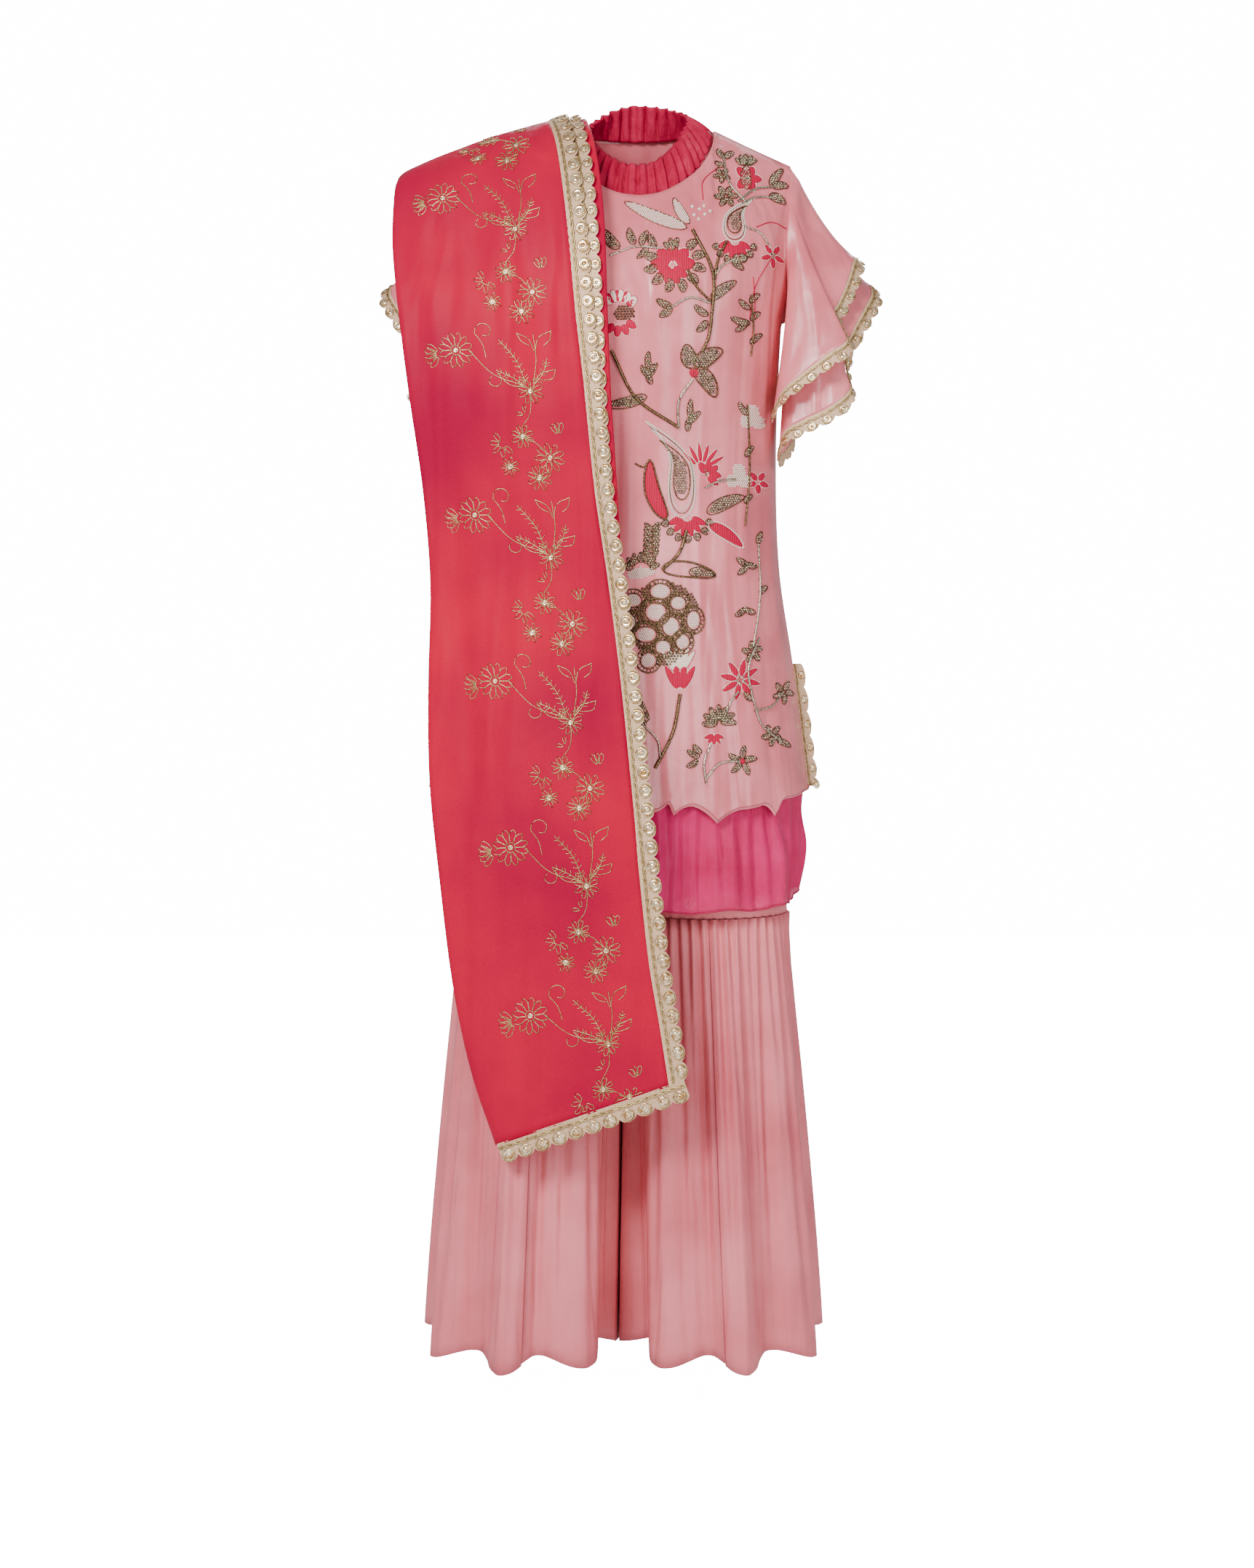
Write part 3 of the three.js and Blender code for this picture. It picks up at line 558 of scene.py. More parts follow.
def collar_place(u, w):
    base = loop_point(neckline, even_neck(u % 1))
    radial = Vector((base.x, base.y, 0)).normalized()
    k = int((u % 1) * PLEATS) % PLEATS
    phase = 2 * math.pi * u * PLEATS
    pleat = -math.cos(phase + pleat_lean[k] * math.sin(phase)) * pleat_depth[k]
    front, back = max(0, -radial.y), max(0, radial.y)
    deep = COLLAR_DEEP[0] if radial.y < 0 else COLLAR_DEEP[1]
    side, low, high = COLLAR_TOP["side"], COLLAR_TOP["front"], COLLAR_TOP["back"]
    z = lerp(side, low, front**1.6) + (high - side) * back**1.2 - COLLAR_PRESS * max(0, -radial.x) ** 2
    spread = 1 + 3.4 * pleat / 60
    top = Vector((radial.x * COLLAR_REACH * spread, radial.y * deep * spread, z + pleat * 1.2))
    foot = base + radial * (1.2 * pleat - 3.6) + Vector((0, 0, -2 - 5 * back))
    swell = 1.6 * math.sin(math.pi * w) * (1 + pleat * 0.5)
    return top.lerp(foot, w) + radial * swell


# Dupion silk: slubbed yarns give a low, uneven sheen.
raspberry_silk = woven("raspberry_dupion_silk", ("#98082e", "#bc1c46"), 0.45, 0.1, 14, 14, 0.9)
COLLAR_CUT = (0.60, 0.045)
collar = cloth("collar_ruffle", collar_place, PLEATS * 12, 12, COLLAR_CUT, SATIN, raspberry_silk, closed=True)
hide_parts("collar_frill")

# Organza frill
# Sheer magenta organza, gathered under the kurta's scalloped hem, front and
# back; it opens into slow waves and its edge is rolled and sewn.
ORGANZA = 0.5
FRILL_HEM = -886
FRILL_GATHERS, FRILL_WAVES = 24, 7
FRILL_TAPER = 26  # how far the ends of the frill swing in under the sides
FRILL_ROWS = [
    # share of the drop, outward, gather depth, wave depth
    [0, 0, 1.3, 0],
    [0.3, -0.5, 1.5, 1],
    [0.62, 9, 2, 8],
    [1, 12, 1.5, 11],
]
FRILL_ROW = ROW_SHARES[-2]


def frill_place(facing):
    def seam_line(t):
        return kurta_point(facing, lerp(-SIDE, SIDE, t) * -facing, FRILL_ROW)

    even = even_steps(seam_line, 200)

    def place(u, w):
        t = even(0.012 + 0.976 * u)
        a, b = Vector(seam_line(max(t - 0.01, 0))), Vector(seam_line(min(t + 0.01, 1)))
        level = Vector((b.y - a.y, a.x - b.x, 0)).normalized()
        shares = [row[0] for row in FRILL_ROWS]
        out, gather, wave = (smooth(shares, [row[k] for row in FRILL_ROWS], w) for k in (1, 2, 3))
        sideways = abs(u - 0.5) * 2
        flute = math.cos(u * FRILL_WAVES * 2 * math.pi)
        uneven = 0.35 * ripple(u * 31 + 0.7, u * 17 + w * 3)
        depth = out * (1 + 0.5 * sideways**4)
        depth -= gather * (1 + math.cos(u * FRILL_GATHERS * 2 * math.pi + uneven * 4))
        depth += wave * (flute + uneven - 1) * 0.5 * (1 if w > 0.5 else lerp(0.4, 1, w * 2))
        p = Vector(seam_line(t)) + level * (depth - 2.4)
        p.z = FRILL_SEAM + (FRILL_HEM - FRILL_SEAM) * w * (1 - 0.12 * sideways**6) + 2 * flute * w
        p.x -= math.copysign(FRILL_TAPER * w * w * sideways**6, p.x)
        return p

    return place


# Silk organza: thin stiff yarns far apart, so the trousers show through.
magenta_organza = woven("magenta_silk_organza", ("#d20c5c", "#f0247a"), 0.4, 0.2, 30, 14, 0.5, 0.42)
FRILL_CUT = (0.68, 0.145)
for name, facing, node in [
    ("organza_front_frill", -1, "organza_frill_front"),
    ("organza_back_frill", 1, "organza_frill_back"),
]:
    frill = cloth(name, frill_place(facing), 384, 24, FRILL_CUT, ORGANZA, magenta_organza)
    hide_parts(node)

# Sharara
# Wide trousers of coral chiffon: plain to the knee, an embroidered band there,
# and under it a flare gathered at the band that opens into large folds.
CHIFFON = 0.6
HIP_SHIFT = -17
WAIST = {"half": 136, "deep": 90, "x": -8, "y": -14, "top": -398, "seam": -432, "crotch": 258}
BAND = [(-840, 94.5, 92, 95), (-896, 96, 94, 97)]  # height, middle, half width, half depth
LEG_MIDDLE = -10
THIGH = [(-720, 85, 83, 98, -12), (-790, 90, 88, 96, -11), (-839.2, 94.5, 92, 95, -10)]
FLARE_HEM = -1385
FLARE_GATHERS, FLARE_FOLDS = 48, 8
FLARE = [
    # share of the length, middle of the leg, half width, half depth
    [0, 96, 94, 97],
    [0.12, 98, 96, 110],
    [0.36, 102, 100, 132],
    [0.66, 107, 105, 157],
    [1, 113, 111, 180],
]
LEG_GAP = 1.6  # half of the space between the legs, which meet along a slow wave
draw = random.Random(23)
gather_depth = [draw.uniform(0.7, 1.5) for _ in range(FLARE_GATHERS)]


def waist_place(u, w):
    a = math.radians(-90 + 360 * u)
    x, y = WAIST["x"] + WAIST["half"] * math.cos(a), WAIST["y"] + WAIST["deep"] * math.sin(a)
    return x, y, lerp(WAIST["top"], WAIST["seam"] + 0.8, w)


def leg_place(side, place):
    def turned(u, w):
        x, y, z, shift = place(u if side > 0 else 1 - u, w)
        meeting = 9 * w * math.sin(y / 34 + 0.8) if z < BAND[1][0] else 0
        return shift + meeting + side * max(x - side * meeting, LEG_GAP), y, z

    return turned


def thigh(u, w):
    a = 2 * math.pi * u
    x = WAIST["half"] * math.sin(a) if u <= 0.5 else 0
    drop = 0 if u <= 0.5 else WAIST["crotch"] * max(0, -math.sin(a)) ** 0.7
    rows = [(x, WAIST["y"] - WAIST["deep"] * math.cos(a), WAIST["seam"] - drop)]
    for z, middle, half, deep, y in THIGH:
        rows.append((middle + half * math.sin(a), y - deep * math.cos(a), z))
    rows.insert(1, [lerp(p, q, 0.55) for p, q in zip(rows[0], rows[1])])
    p = [smooth([0, 0.4, 0.72, 0.88, 1], [row[k] for row in rows], w) for k in range(3)]
    return max(p[0], 0.8), p[1], p[2], lerp(WAIST["x"], HIP_SHIFT, min(w * 2.5, 1))


def band_place(u, w):
    (top, *first), (bottom, *last) = BAND
    middle, half, deep = (lerp(p, q, w) for p, q in zip(first, last))
    a = 2 * math.pi * u
    return middle + half * math.sin(a), LEG_MIDDLE - deep * math.cos(a), lerp(top, bottom, w), HIP_SHIFT


def flare(u, w):
    shares = [row[0] for row in FLARE]
    middle, half, deep = (smooth(shares, [row[k] for row in FLARE], w) for k in (1, 2, 3))
    a = 2 * math.pi * u
    k = int((u % 1) * FLARE_GATHERS) % FLARE_GATHERS
    gather = -math.cos(u * FLARE_GATHERS * 2 * math.pi) * lerp(3.0, 0.5, w**0.5) * gather_depth[k]
    phase = u * FLARE_FOLDS * 2 * math.pi
    fold = 17 * w**0.8 * math.sin(phase + 0.6 * math.sin(phase / 3))
    slack = 3.4 * math.sin(3 * phase + 1.3 + 0.8 * w) * math.sin(math.pi * w) ** 0.8
    reach = 1 + (gather + fold + slack) / half
    x = middle + half * math.sin(a) * reach
    y = LEG_MIDDLE - (deep + (gather + fold + slack)) * math.cos(a)
    z = lerp(-896.8, FLARE_HEM, w) - (7 * math.sin(phase) * max(0, w - 0.8) / 0.2)
    return x, y, z, HIP_SHIFT


# Georgette: crimped yarns, so it is matt and falls in soft folds.
coral_chiffon = woven("coral_georgette", ("#c95f69", "#e67f87"), 0.55, 0.2, 60, 22, 0.6)
WAIST_CUT, THIGH_CUT, BAND_CUT, FLARE_CUT = (0.72, 0.035), (0.60, 0.40), (0.60, 0.056), (1.10, 0.49)
waist = cloth("waistband_strip", waist_place, 96, 4, WAIST_CUT, SATIN, coral_chiffon, closed=True)
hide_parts("sharara_waistband")
for label, side in [("left", 1), ("right", -1)]:
    for name, place, across, along, cut, node, slot, held in [
        ("trouser_leg", thigh, 96, 40, THIGH_CUT, "sharara_thigh", "coral_chiffon", "hung"),
        ("knee_strip", band_place, 120, 6, BAND_CUT, "knee_band", "knee_embroidery", "hung"),
        ("flare_skirt", flare, 480, 30, FLARE_CUT, "flare", "coral_chiffon", "gathered"),
    ]:
        placed = leg_place(side, place)
        leg = cloth(f"{name}_{label}", placed, across, along, cut, CHIFFON, coral_chiffon, closed=True)
        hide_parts(f"{node}_{label}")

# Stole
# A long scarf of crimson organza silk, folded lengthwise into four layers and
# laid over the right shoulder; it hangs to the shin in front and behind.
STOLE = [
    # arm x, y, z, neck x, y, z, outer short, under short
    (-156, -172, -1140, 37, -204, -1068, 1, 5),
    (-184, -166, -1056, 27, -198, -1004, 1, 5),
    (-204, -162, -960, 17, -194, -932, 3, 7),
    (-218, -156, -850, 9, -186, -832, 6, 9),
    (-230, -140, -740, 1, -176, -730, 8, 10),
    (-232, -122, -630, -8, -164, -624, 10, 10),
    (-230, -106, -520, -17, -156, -518, 14, 12),
    (-238, -101, -415, -23, -152, -414, 23, 12),
    (-253, -103, -310, -30, -147, -310, 27, 12),
    (-265, -91, -220, -34, -139, -214, 34, 12),
    (-274, -64, -142, -37, -124, -130, 38, 14),
    (-274, -44, -84, -43, -94, -66, 40, 14),
    (-272, -24, -65, -50, -66, -24, 40, 14),
    (-270, -8, -59, -57, -34, 1, 40, 14),
    (-268, 6, -56, -61, 0, 11, 40, 14),
    (-268, 24, -61, -67, 42, 10, 40, 14),
    (-268, 46, -86, -66, 85, -26, 40, 14),
    (-264, 66, -152, -62, 108, -112, 36, 14),
    (-257, 92, -270, -52, 116, -250, 30, 12),
    (-240, 100, -430, -36, 118, -420, 26, 12),
    (-222, 116, -610, -20, 136, -606, 20, 12),
    (-214, 140, -800, -8, 158, -798, 14, 12),
    (-206, 160, -1000, 0, 178, -990, 10, 12),
]
LAYER, CROWN = 2.8, 7
STATIONS = len(STOLE) - 1
SPAN_PARTS = (10, 10, 10, 3, 3, 3, 3, 5, 6, 5, 3, 3, 5, 5, 3, 3, 5, 6)
STOLE_ROWS = 176
STOLE_WALL = 0.8


def station(j):
    row = [smooth(range(STATIONS + 1), [line[k] for line in STOLE], j) for k in range(8)]
    return Vector(row[:3]), Vector(row[3:6]), row[6], row[7]


def stole_frame(j):
    """Arm-side point, direction to the neck side, width, outward direction, shortfalls."""
    arm, neck, outer_short, under_short = station(j)
    ends = [station(min(max(j + step, 0), STATIONS)) for step in (0.5, -0.5)]
    way = (ends[0][0] + ends[0][1]) - (ends[1][0] + ends[1][1])
    wide = neck - arm
    return arm, wide.normalized(), wide.length, wide.cross(way).normalized(), outer_short, under_short


def stole_point(j, s, d, frame_at=None):
    arm, across, full, out, _, _ = frame_at or stole_frame(j)
    share = min(max(s / full, 0), 1)
    swell = CROWN * 4 * share * (1 - share)
    # Long soft creases that run with the fall, each only part of the way.
    hang = min(abs(j - 14) / 5, 1)
    swell += 2.2 * hang * (1 + ripple(share * 19 + j * 0.35, share * 11 - j * 0.5, share * 31 + j))
    return arm + across * s + out * (d + swell)


def stole_section(full, outer_short, under_short):
    outer, under = full - outer_short, full - under_short - 8
    layers = [
        (outer, 3), (outer * 0.66, 3), (outer * 0.33, 3), (6, 3), (1, 2.4), (-1, 1.5), (1, 0.6),
        (6, 0), (full * 0.33, 0), (full * 0.66, 0), (full - 2, 0), (full, 0.5), (full - 2, 1),
        (full * 0.5, 1), (14, 1), (11, 1.5), (14, 2), (under * 0.5, 2), (under, 2),
    ]
    return [(s, d * LAYER) for s, d in layers]


stole_spots = [(k, part / parts) for k, parts in enumerate(SPAN_PARTS) for part in range(parts)]
stole_spots = [*stole_spots, (len(SPAN_PARTS) - 1, 1.0)][::-1]
stole_memory = {}


def stole_place(u, w):
    j = round((1 - w) * STATIONS, 6)
    if j not in stole_memory:
        frame_at = stole_frame(j)
        section = stole_section(frame_at[2], frame_at[4], frame_at[5])
        stole_memory[j] = (frame_at, section, run_of(section))
    frame_at, section, keys = stole_memory[j]
    span, f = stole_spots[round(u * (len(stole_spots) - 1))]
    x = lerp(keys[span], keys[span + 1], f)
    s, d = (smooth(keys, [point[k] for point in section], x) for k in (0, 1))
    return stole_point(j, s, d, frame_at)


# Silk organza four layers deep: no longer sheer, with hardly a gloss.
crimson_silk = woven("crimson_organza_silk", ("#9c0034", "#c20032"), 0.4, 0.04, 70, 60, 0.7)
STOLE_CUT = (0.84, 2.32)
stole = cloth("stole", stole_place, len(stole_spots) - 1, STOLE_ROWS, STOLE_CUT, STOLE_WALL, crimson_silk)
stole.modifiers["wall"].offset = 0
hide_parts("stole_front", "stole_shoulder", "stole_back")

# Gold lace
# A scalloped trim sewn along the stole, the sleeve hems and the slits: a net
# ground, a wavy twisted cord at its sewn side and a round sequin in each scallop.
LACE_PITCH = 21
LACE_WIDTH, UNDER_WIDTH, SLEEVE_LACE_WIDTH, SLIT_LACE_WIDTH = 22, 18, 16, 13
SLIT_SCALLOPS = 7
SEAM = 0.4
LAP = 1.6  # how far the net is sewn over the edge of the cloth
CORNER = 19  # how far the hem lace runs on under the end of the side lace
DISC = [(0, 0.9), (0.28, 0.75), (0.36, 0.35), (0.66, 0.6), (0.88, 1.0), (1, 0.1)]  # radius, height shares
DISC_SIDES = 12


def tube(bm, spots, radius, sides=5, material=0):
    """A round cord through spots in millimetres."""
    rings = []
    for k, spot in enumerate(spots):
        way = (spots[min(k + 1, len(spots) - 1)] - spots[max(k - 1, 0)]).normalized()
        side = way.cross(Vector((0, 0.3, 1)) if abs(way.z) < 0.9 else Vector((1, 0.2, 0))).normalized()
        up = side.cross(way)
        ring = []
        for i in range(sides):
            a = 2 * math.pi * i / sides
            ring.append(bm.verts.new((spot + (side * math.cos(a) + up * math.sin(a)) * radius) * MM))
        rings.append(ring)
    for a, b in zip(rings, rings[1:]):
        for i in range(sides):
            face = bm.faces.new((a[i], a[(i + 1) % sides], b[(i + 1) % sides], b[i]))
            face.material_index = material
            face.smooth = True


def disc(bm, middle, across, out, radius, height, profile=DISC, sides=DISC_SIDES, material=0):
    """A round stamped sequin or bead, with its profile turned about `out`."""
    along = out.cross(across).normalized()
    rings = []
    for share, lift in profile:
        if share == 0:
            rings.append([bm.verts.new((middle + out * lift * height) * MM)])
            continue
        ring = []
        for i in range(sides):
            a = 2 * math.pi * i / sides
            level = (across * math.cos(a) + along * math.sin(a)) * radius * share
            ring.append(bm.verts.new((middle + level + out * lift * height) * MM))
        rings.append(ring)
    for a, b in zip(rings, rings[1:]):
        for i in range(sides):
            j = (i + 1) % sides
            corners = (a[0], b[i], b[j]) if len(a) == 1 else (a[i], b[i], b[j], a[j])
            face = bm.faces.new(corners)
            face.material_index = material
            face.smooth = True


def piece_from(bm, name, materials):
    data = bpy.data.meshes.new(name)
    bm.to_mesh(data)
    bm.free()
    for material in materials:
        data.materials.append(material)
    piece = bpy.data.objects.new(name, data)
    bpy.context.scene.collection.objects.link(piece)
    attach(piece, "root")
    return piece


def grained(name, tones, span, kind, settings, relief_mm, sockets):
    """A finish toned and raised by one pattern; span is where the two tones end."""
    material, tree, shader = finish_named(name, sockets)
    place = add_node(tree, "ShaderNodeTexCoord")
    grain = add_node(tree, kind, settings, [("Vector", place, "Object")])
    ramp = add_node(tree, "ShaderNodeValToRGB", {}, [("Fac", grain, "Fac")])
    for stop, position, code in zip(ramp.color_ramp.elements, span, tones):
        stop.position = position
        stop.color = linear(code)
    relief = {"Strength": 0.5, "Distance": relief_mm * MM}
    bump = add_node(tree, "ShaderNodeBump", relief, [("Height", grain, "Fac")])
    tree.links.new(ramp.outputs["Color"], shader.inputs["Base Color"])
    tree.links.new(bump.outputs["Normal"], shader.inputs["Normal"])
    return material


def metallic(name, tones, rough, grain_mm, metal=0.85):
    """Metal thread or foil, whose twist or stamping is too fine to model and shows as a grain."""
    cloud = {"Scale": 1 / (grain_mm * MM), "Detail": 2.0}
    sockets = {"Metallic": metal, "Roughness": rough}
    return grained(name, tones, (0.35, 0.65), "ShaderNodeTexNoise", cloud, 0.4, sockets)


# Zari is gilt thread wound on silk; the sequins are stamped foil, and the net
# under them is gold gauze, more fabric than metal.
gold_thread = metallic("zari_thread", ("#8f7446", "#d8bf8a"), 0.38, 1.5)
gold_sequin = metallic("stamped_sequin", ("#b98a52", "#fae6c2"), 0.22, 4)
lace_ground = metallic("gold_net_ground", ("#bd9470", "#e4c4a2"), 0.6, 1.0, metal=0.4)


def lace(name, node, edge, width, scallops, flip=1):
    """`edge` turns a share into the edge point, the way across and the way out."""
    bm = bmesh.new()
    steps = 10
    radius = width * 0.31
    rail = []
    for k in range(scallops * steps + 1):
        point, across, out = edge(k / (scallops * steps))
        lobe = abs(math.sin(math.pi * k / steps))
        reaches = (-LAP, width * 0.4, width * (0.74 + 0.26 * lobe**0.6))
        rail.append([bm.verts.new((point + across * r + out * (0.5 if r < 0 else 0)) * MM) for r in reaches])
    for a, b in zip(rail, rail[1:]):
        for i in range(len(a) - 1):
            face = bm.faces.new((a[i], b[i], b[i + 1], a[i + 1])[::flip])
            face.material_index = 2
            face.smooth = True
    for phase in (0, math.pi):
        spots = []
        for k in range(scallops * steps + 1):
            point, across, out = edge(k / (scallops * steps))
            wave = math.sin(2 * math.pi * k / steps + phase)
            reach = SEAM + width * 0.17 + wave * width * 0.055
            spots.append(point + across * reach + out * (0.9 + wave * 0.4))
        tube(bm, spots, width * 0.045)
    for k in range(scallops):
        point, across, out = edge((k + 0.5) / scallops)
        middle = point + across * (SEAM + width - radius - width * 0.07) + out * 0.3
        disc(bm, middle, across, out, radius, width * 0.07, material=1)
        along = out.cross(across).normalized()
        rim = []
        for i in range(9):
            a = math.radians(lerp(-112, 112, i / 8))
            level = across * math.cos(a) + along * math.sin(a)
            rim.append(middle + level * (radius + width * 0.035) + out * 0.3)
        tube(bm, rim, width * 0.03, sides=4)
    piece = piece_from(bm, name, [gold_thread, gold_sequin, lace_ground])
    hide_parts(node)
    return piece


def stole_edge(first, last, outer, layer):
    """The edge of the outer or the under layer between two stations."""
    def line(t):
        j = lerp(first, last, t)
        frame_at = stole_frame(j)
        arm, across, full, out, outer_short, under_short = frame_at
        s = full - outer_short if outer else full - under_short - 9
        return stole_point(j, s, layer * LAYER, frame_at)

    even = even_steps(line, 240)

    def edge(share):
        t = even(share)
        frame_at = stole_frame(lerp(first, last, t))
        return line(t), frame_at[1], frame_at[3]

    return edge, even.total


def hem_edge(j, toward):
    frame_at = stole_frame(j)
    full = frame_at[2] - frame_at[4] + CORNER

    def line(t):
        return stole_point(j, lerp(1, full, t), 3 * LAYER, frame_at)

    even = even_steps(line, 60)

    def edge(share):
        t = even(lerp(0.004, 0.99, share))
        inner = stole_point(j + toward, lerp(1, full, t), 3 * LAYER)
        return line(t), (line(t) - inner).normalized(), frame_at[3]

    return edge, even.total


split = 11  # the station where the outer lace is joined, on top of the shoulder
for name, node, (edge, total), flip in [
    ("lace_stole_front", "lace_stole_outer_front", stole_edge(0.02, split, True, 3), 1),
    ("lace_stole_back", "lace_stole_outer_back", stole_edge(split, STATIONS - 0.01, True, 3), 1),
    ("lace_stole_inside", "lace_stole_under", stole_edge(6, 14, False, 2), 1),
    ("lace_hem_front", "lace_stole_hem_front", hem_edge(0, 1), -1),
    ("lace_hem_back", "lace_stole_hem_back", hem_edge(STATIONS, -1), 1),
]:
    lace(name, node, edge, UNDER_WIDTH if "inside" in name else LACE_WIDTH, round(total / LACE_PITCH), flip)


def hem_of(place):
    def edge(share):
        p, above = Vector(place(share, 1)), Vector(place(share, 0.9))
        return p, (p - above).normalized(), outward(place, share, 1)

    return edge


for label in ("left", "right"):
    for tier in ("upper", "lower"):
        place = sleeve_places[f"sleeve_{label}_{tier}"]
        name, node = f"lace_{label}_{tier}_hem", f"lace_sleeve_{label}_{tier}"
        lace(name, node, hem_of(place), SLEEVE_LACE_WIDTH, SLEEVE_SCALLOPS)


def slit_edge(side):
    def edge(share):
        w = lerp(0.755, 1, share if side < 0 else 1 - share)
        point = Vector(kurta_point(-1, side * SIDE, w))
        return point, Vector((side, 0, 0)), Vector((0, -1, 0))

    return edge


for label, side in (("left", 1), ("right", -1)):
    lace(f"lace_{label}_slit", f"lace_slit_{label}", slit_edge(side), SLIT_LACE_WIDTH, SLIT_SCALLOPS)

# Hems
# The organza's edges are rolled and whipped, and a line of stitches runs round
# the kurta's scalloped hem, just above its edge.
# Rolled organza is several layers thick, so darker; sewing thread is matt.
rolled_edge, _, _ = finish_named("rolled_organza_edge", {"Base Color": linear("#b00044"), "Roughness": 0.6})
hem_thread, _, _ = finish_named("rose_sewing_thread", {"Base Color": linear("#a8525e"), "Roughness": 0.7})
HEM_STITCHES = 3.5  # how far above the edge the stitches run
HEM_PARTS = 300
for label, facing in (("front", -1), ("back", 1)):
    bm = bmesh.new()
    place = frill_place(facing)
    tube(bm, [Vector(place(k / HEM_PARTS, 1)) for k in range(HEM_PARTS + 1)], 0.9, sides=4)
    piece_from(bm, f"frill_hem_{label}", [rolled_edge])
    bm = bmesh.new()
    place = panel_place(facing)
    line = []
    for k in range(3, HEM_PARTS - 2):
        u = k / HEM_PARTS
        edge, above = Vector(place(u, 1)), Vector(place(u, 0.97))
        rise = (above - edge).normalized() * HEM_STITCHES
        line.append(edge + rise + outward(place, u, 0.985) * 0.5)
    tube(bm, line, 0.35, sides=4)
    piece_from(bm, f"kurta_hem_stitches_{label}", [hem_thread])

# Kurta embroidery
# A climbing vine worked by hand on the front: couched bronze and silver cord
# stems, leaves filled with sequins, pearl-beaded leaves, paisleys and pods, and
# blossoms in satin stitch. Everything is sewn down on the satin.
CORD_STITCH = 2.4  # length of the straight parts that a couched cord is laid in
BEAD = [(0, 1), (0.75, 0.7), (1, 0)]  # radius, height shares
LEAF_PARTS = 12
front_mesh = bmesh.new()
front_mesh.from_mesh(bpy.data.objects["kurta_front_panel"].data)
front_surface = BVHTree.FromBMesh(front_mesh)
front_mesh.free()


def on_kurta(x, z, lift=0.0):
    """The spot of the front panel at x, z in millimetres, lifted, and the way out of it."""
    hit, normal, _, _ = front_surface.ray_cast(Vector((x, -400, z)) * MM, Vector((0, 1, 0)))
    if hit is None:
        return Vector((x, -100, z)), Vector((0, -1, 0))
    normal = normal if normal.y < 0 else -normal
    return hit / MM + normal * lift, normal


def flow(keys, step=CORD_STITCH, closed=False):
    """Even spots along a smooth line through keys."""
    keys = [Vector((x, z)) for x, z in keys]
    if closed:
        keys.append(keys[0])
    lengths = run_of(keys)
    parts = max(2, round(lengths[-1] / step))
    spots = []
    for k in range(parts if closed else parts + 1):
        x = lengths[-1] * k / parts
        spots.append(tuple(smooth(lengths, [key[axis] for key in keys], x) for axis in (0, 1)))
    return spots


def leaf_line(root, tip, width, lean=0.12):
    """The outline of a leaf from its root to its tip."""
    root, tip = Vector(root), Vector(tip)
    way = tip - root
    side = Vector((-way.y, way.x)) / way.length
    line = []
    for k in range(LEAF_PARTS):
        a = 2 * math.pi * k / LEAF_PARTS
        t = (1 - math.cos(a)) / 2
        reach = math.sin(a) * width / 2 * (1 - 0.35 * t) + lean * width * math.sin(math.pi * t)
        line.append(tuple(root + way * t + side * reach))
    return line


def arc(start, end, bow):
    """Three points of a bowed line."""
    start, end = Vector(start), Vector(end)
    way = (end - start).normalized()
    return [tuple(start), tuple((start + end) / 2 + Vector((-way.y, way.x)) * bow), tuple(end)]


def paisley(middle, long, wide, hook, share=1.0):
    """A drop with its tip up, bent sideways by hook; share makes it smaller about its middle."""
    line = []
    for k in range(18):
        a = 2 * math.pi * k / 18
        rise = math.cos(a)
        x = wide / 2 * math.sin(a) * abs(math.sin(a / 2)) ** 1.2 + hook * max(0, rise) ** 2
        line.append((middle[0] + x * share, middle[1] + long / 2 * rise * share))
    return line


def round_line(middle, rx, rz, parts=12):
    """A circle or an ellipse."""
    turns = [2 * math.pi * k / parts for k in range(parts)]
    return [(middle[0] + rx * math.cos(a), middle[1] + rz * math.sin(a)) for a in turns]


def drawn_in(outline, share):
    """An outline made smaller about its middle."""
    middle = Vector((sum(p[0] for p in outline), sum(p[1] for p in outline))) / len(outline)
    return [middle + (Vector(p) - middle) * share for p in outline]


def inside(x, z, outline):
    hit = False
    for (ax, az), (bx, bz) in zip(outline, outline[1:] + outline[:1]):
        if (az > z) != (bz > z) and x < (bx - ax) * (z - az) / (bz - az) + ax:
            hit = not hit
    return hit


threads = {name: bmesh.new() for name in ("bronze", "silver", "pearl", "pink", "blush", "sequin")}


def laid(finish, keys, radius=0.9, closed=False):
    """A cord couched along keys."""
    spots = flow(keys, closed=closed)
    if closed:
        spots.append(spots[0])
    tube(threads[finish], [on_kurta(x, z, radius * 0.8)[0] for x, z in spots], radius)


def beads(finish, spots, radius=1.15):
    for x, z in spots:
        middle, out = on_kurta(x, z, 0.1)
        across = out.cross(Vector((0, 0, 1))).normalized()
        disc(threads[finish], middle, across, out, radius, radius * 1.1, BEAD, 6)


def bead_fill(finish, outline, pitch, radius, edge):
    """Beads set in rows all over a shape, drawn in to leave its edge free."""
    shape = drawn_in(outline, edge)
    low = [min(p[k] for p in shape) for k in (0, 1)]
    high = [max(p[k] for p in shape) for k in (0, 1)]
    spots, row, z = [], 0, low[1]
    while z <= high[1]:
        x = low[0] + (pitch / 2 if row % 2 else 0)
        while x <= high[0]:
            if inside(x, z, shape):
                spots.append((x, z))
            x += pitch
        z += pitch * 0.87
        row += 1
    beads(finish, spots, radius)


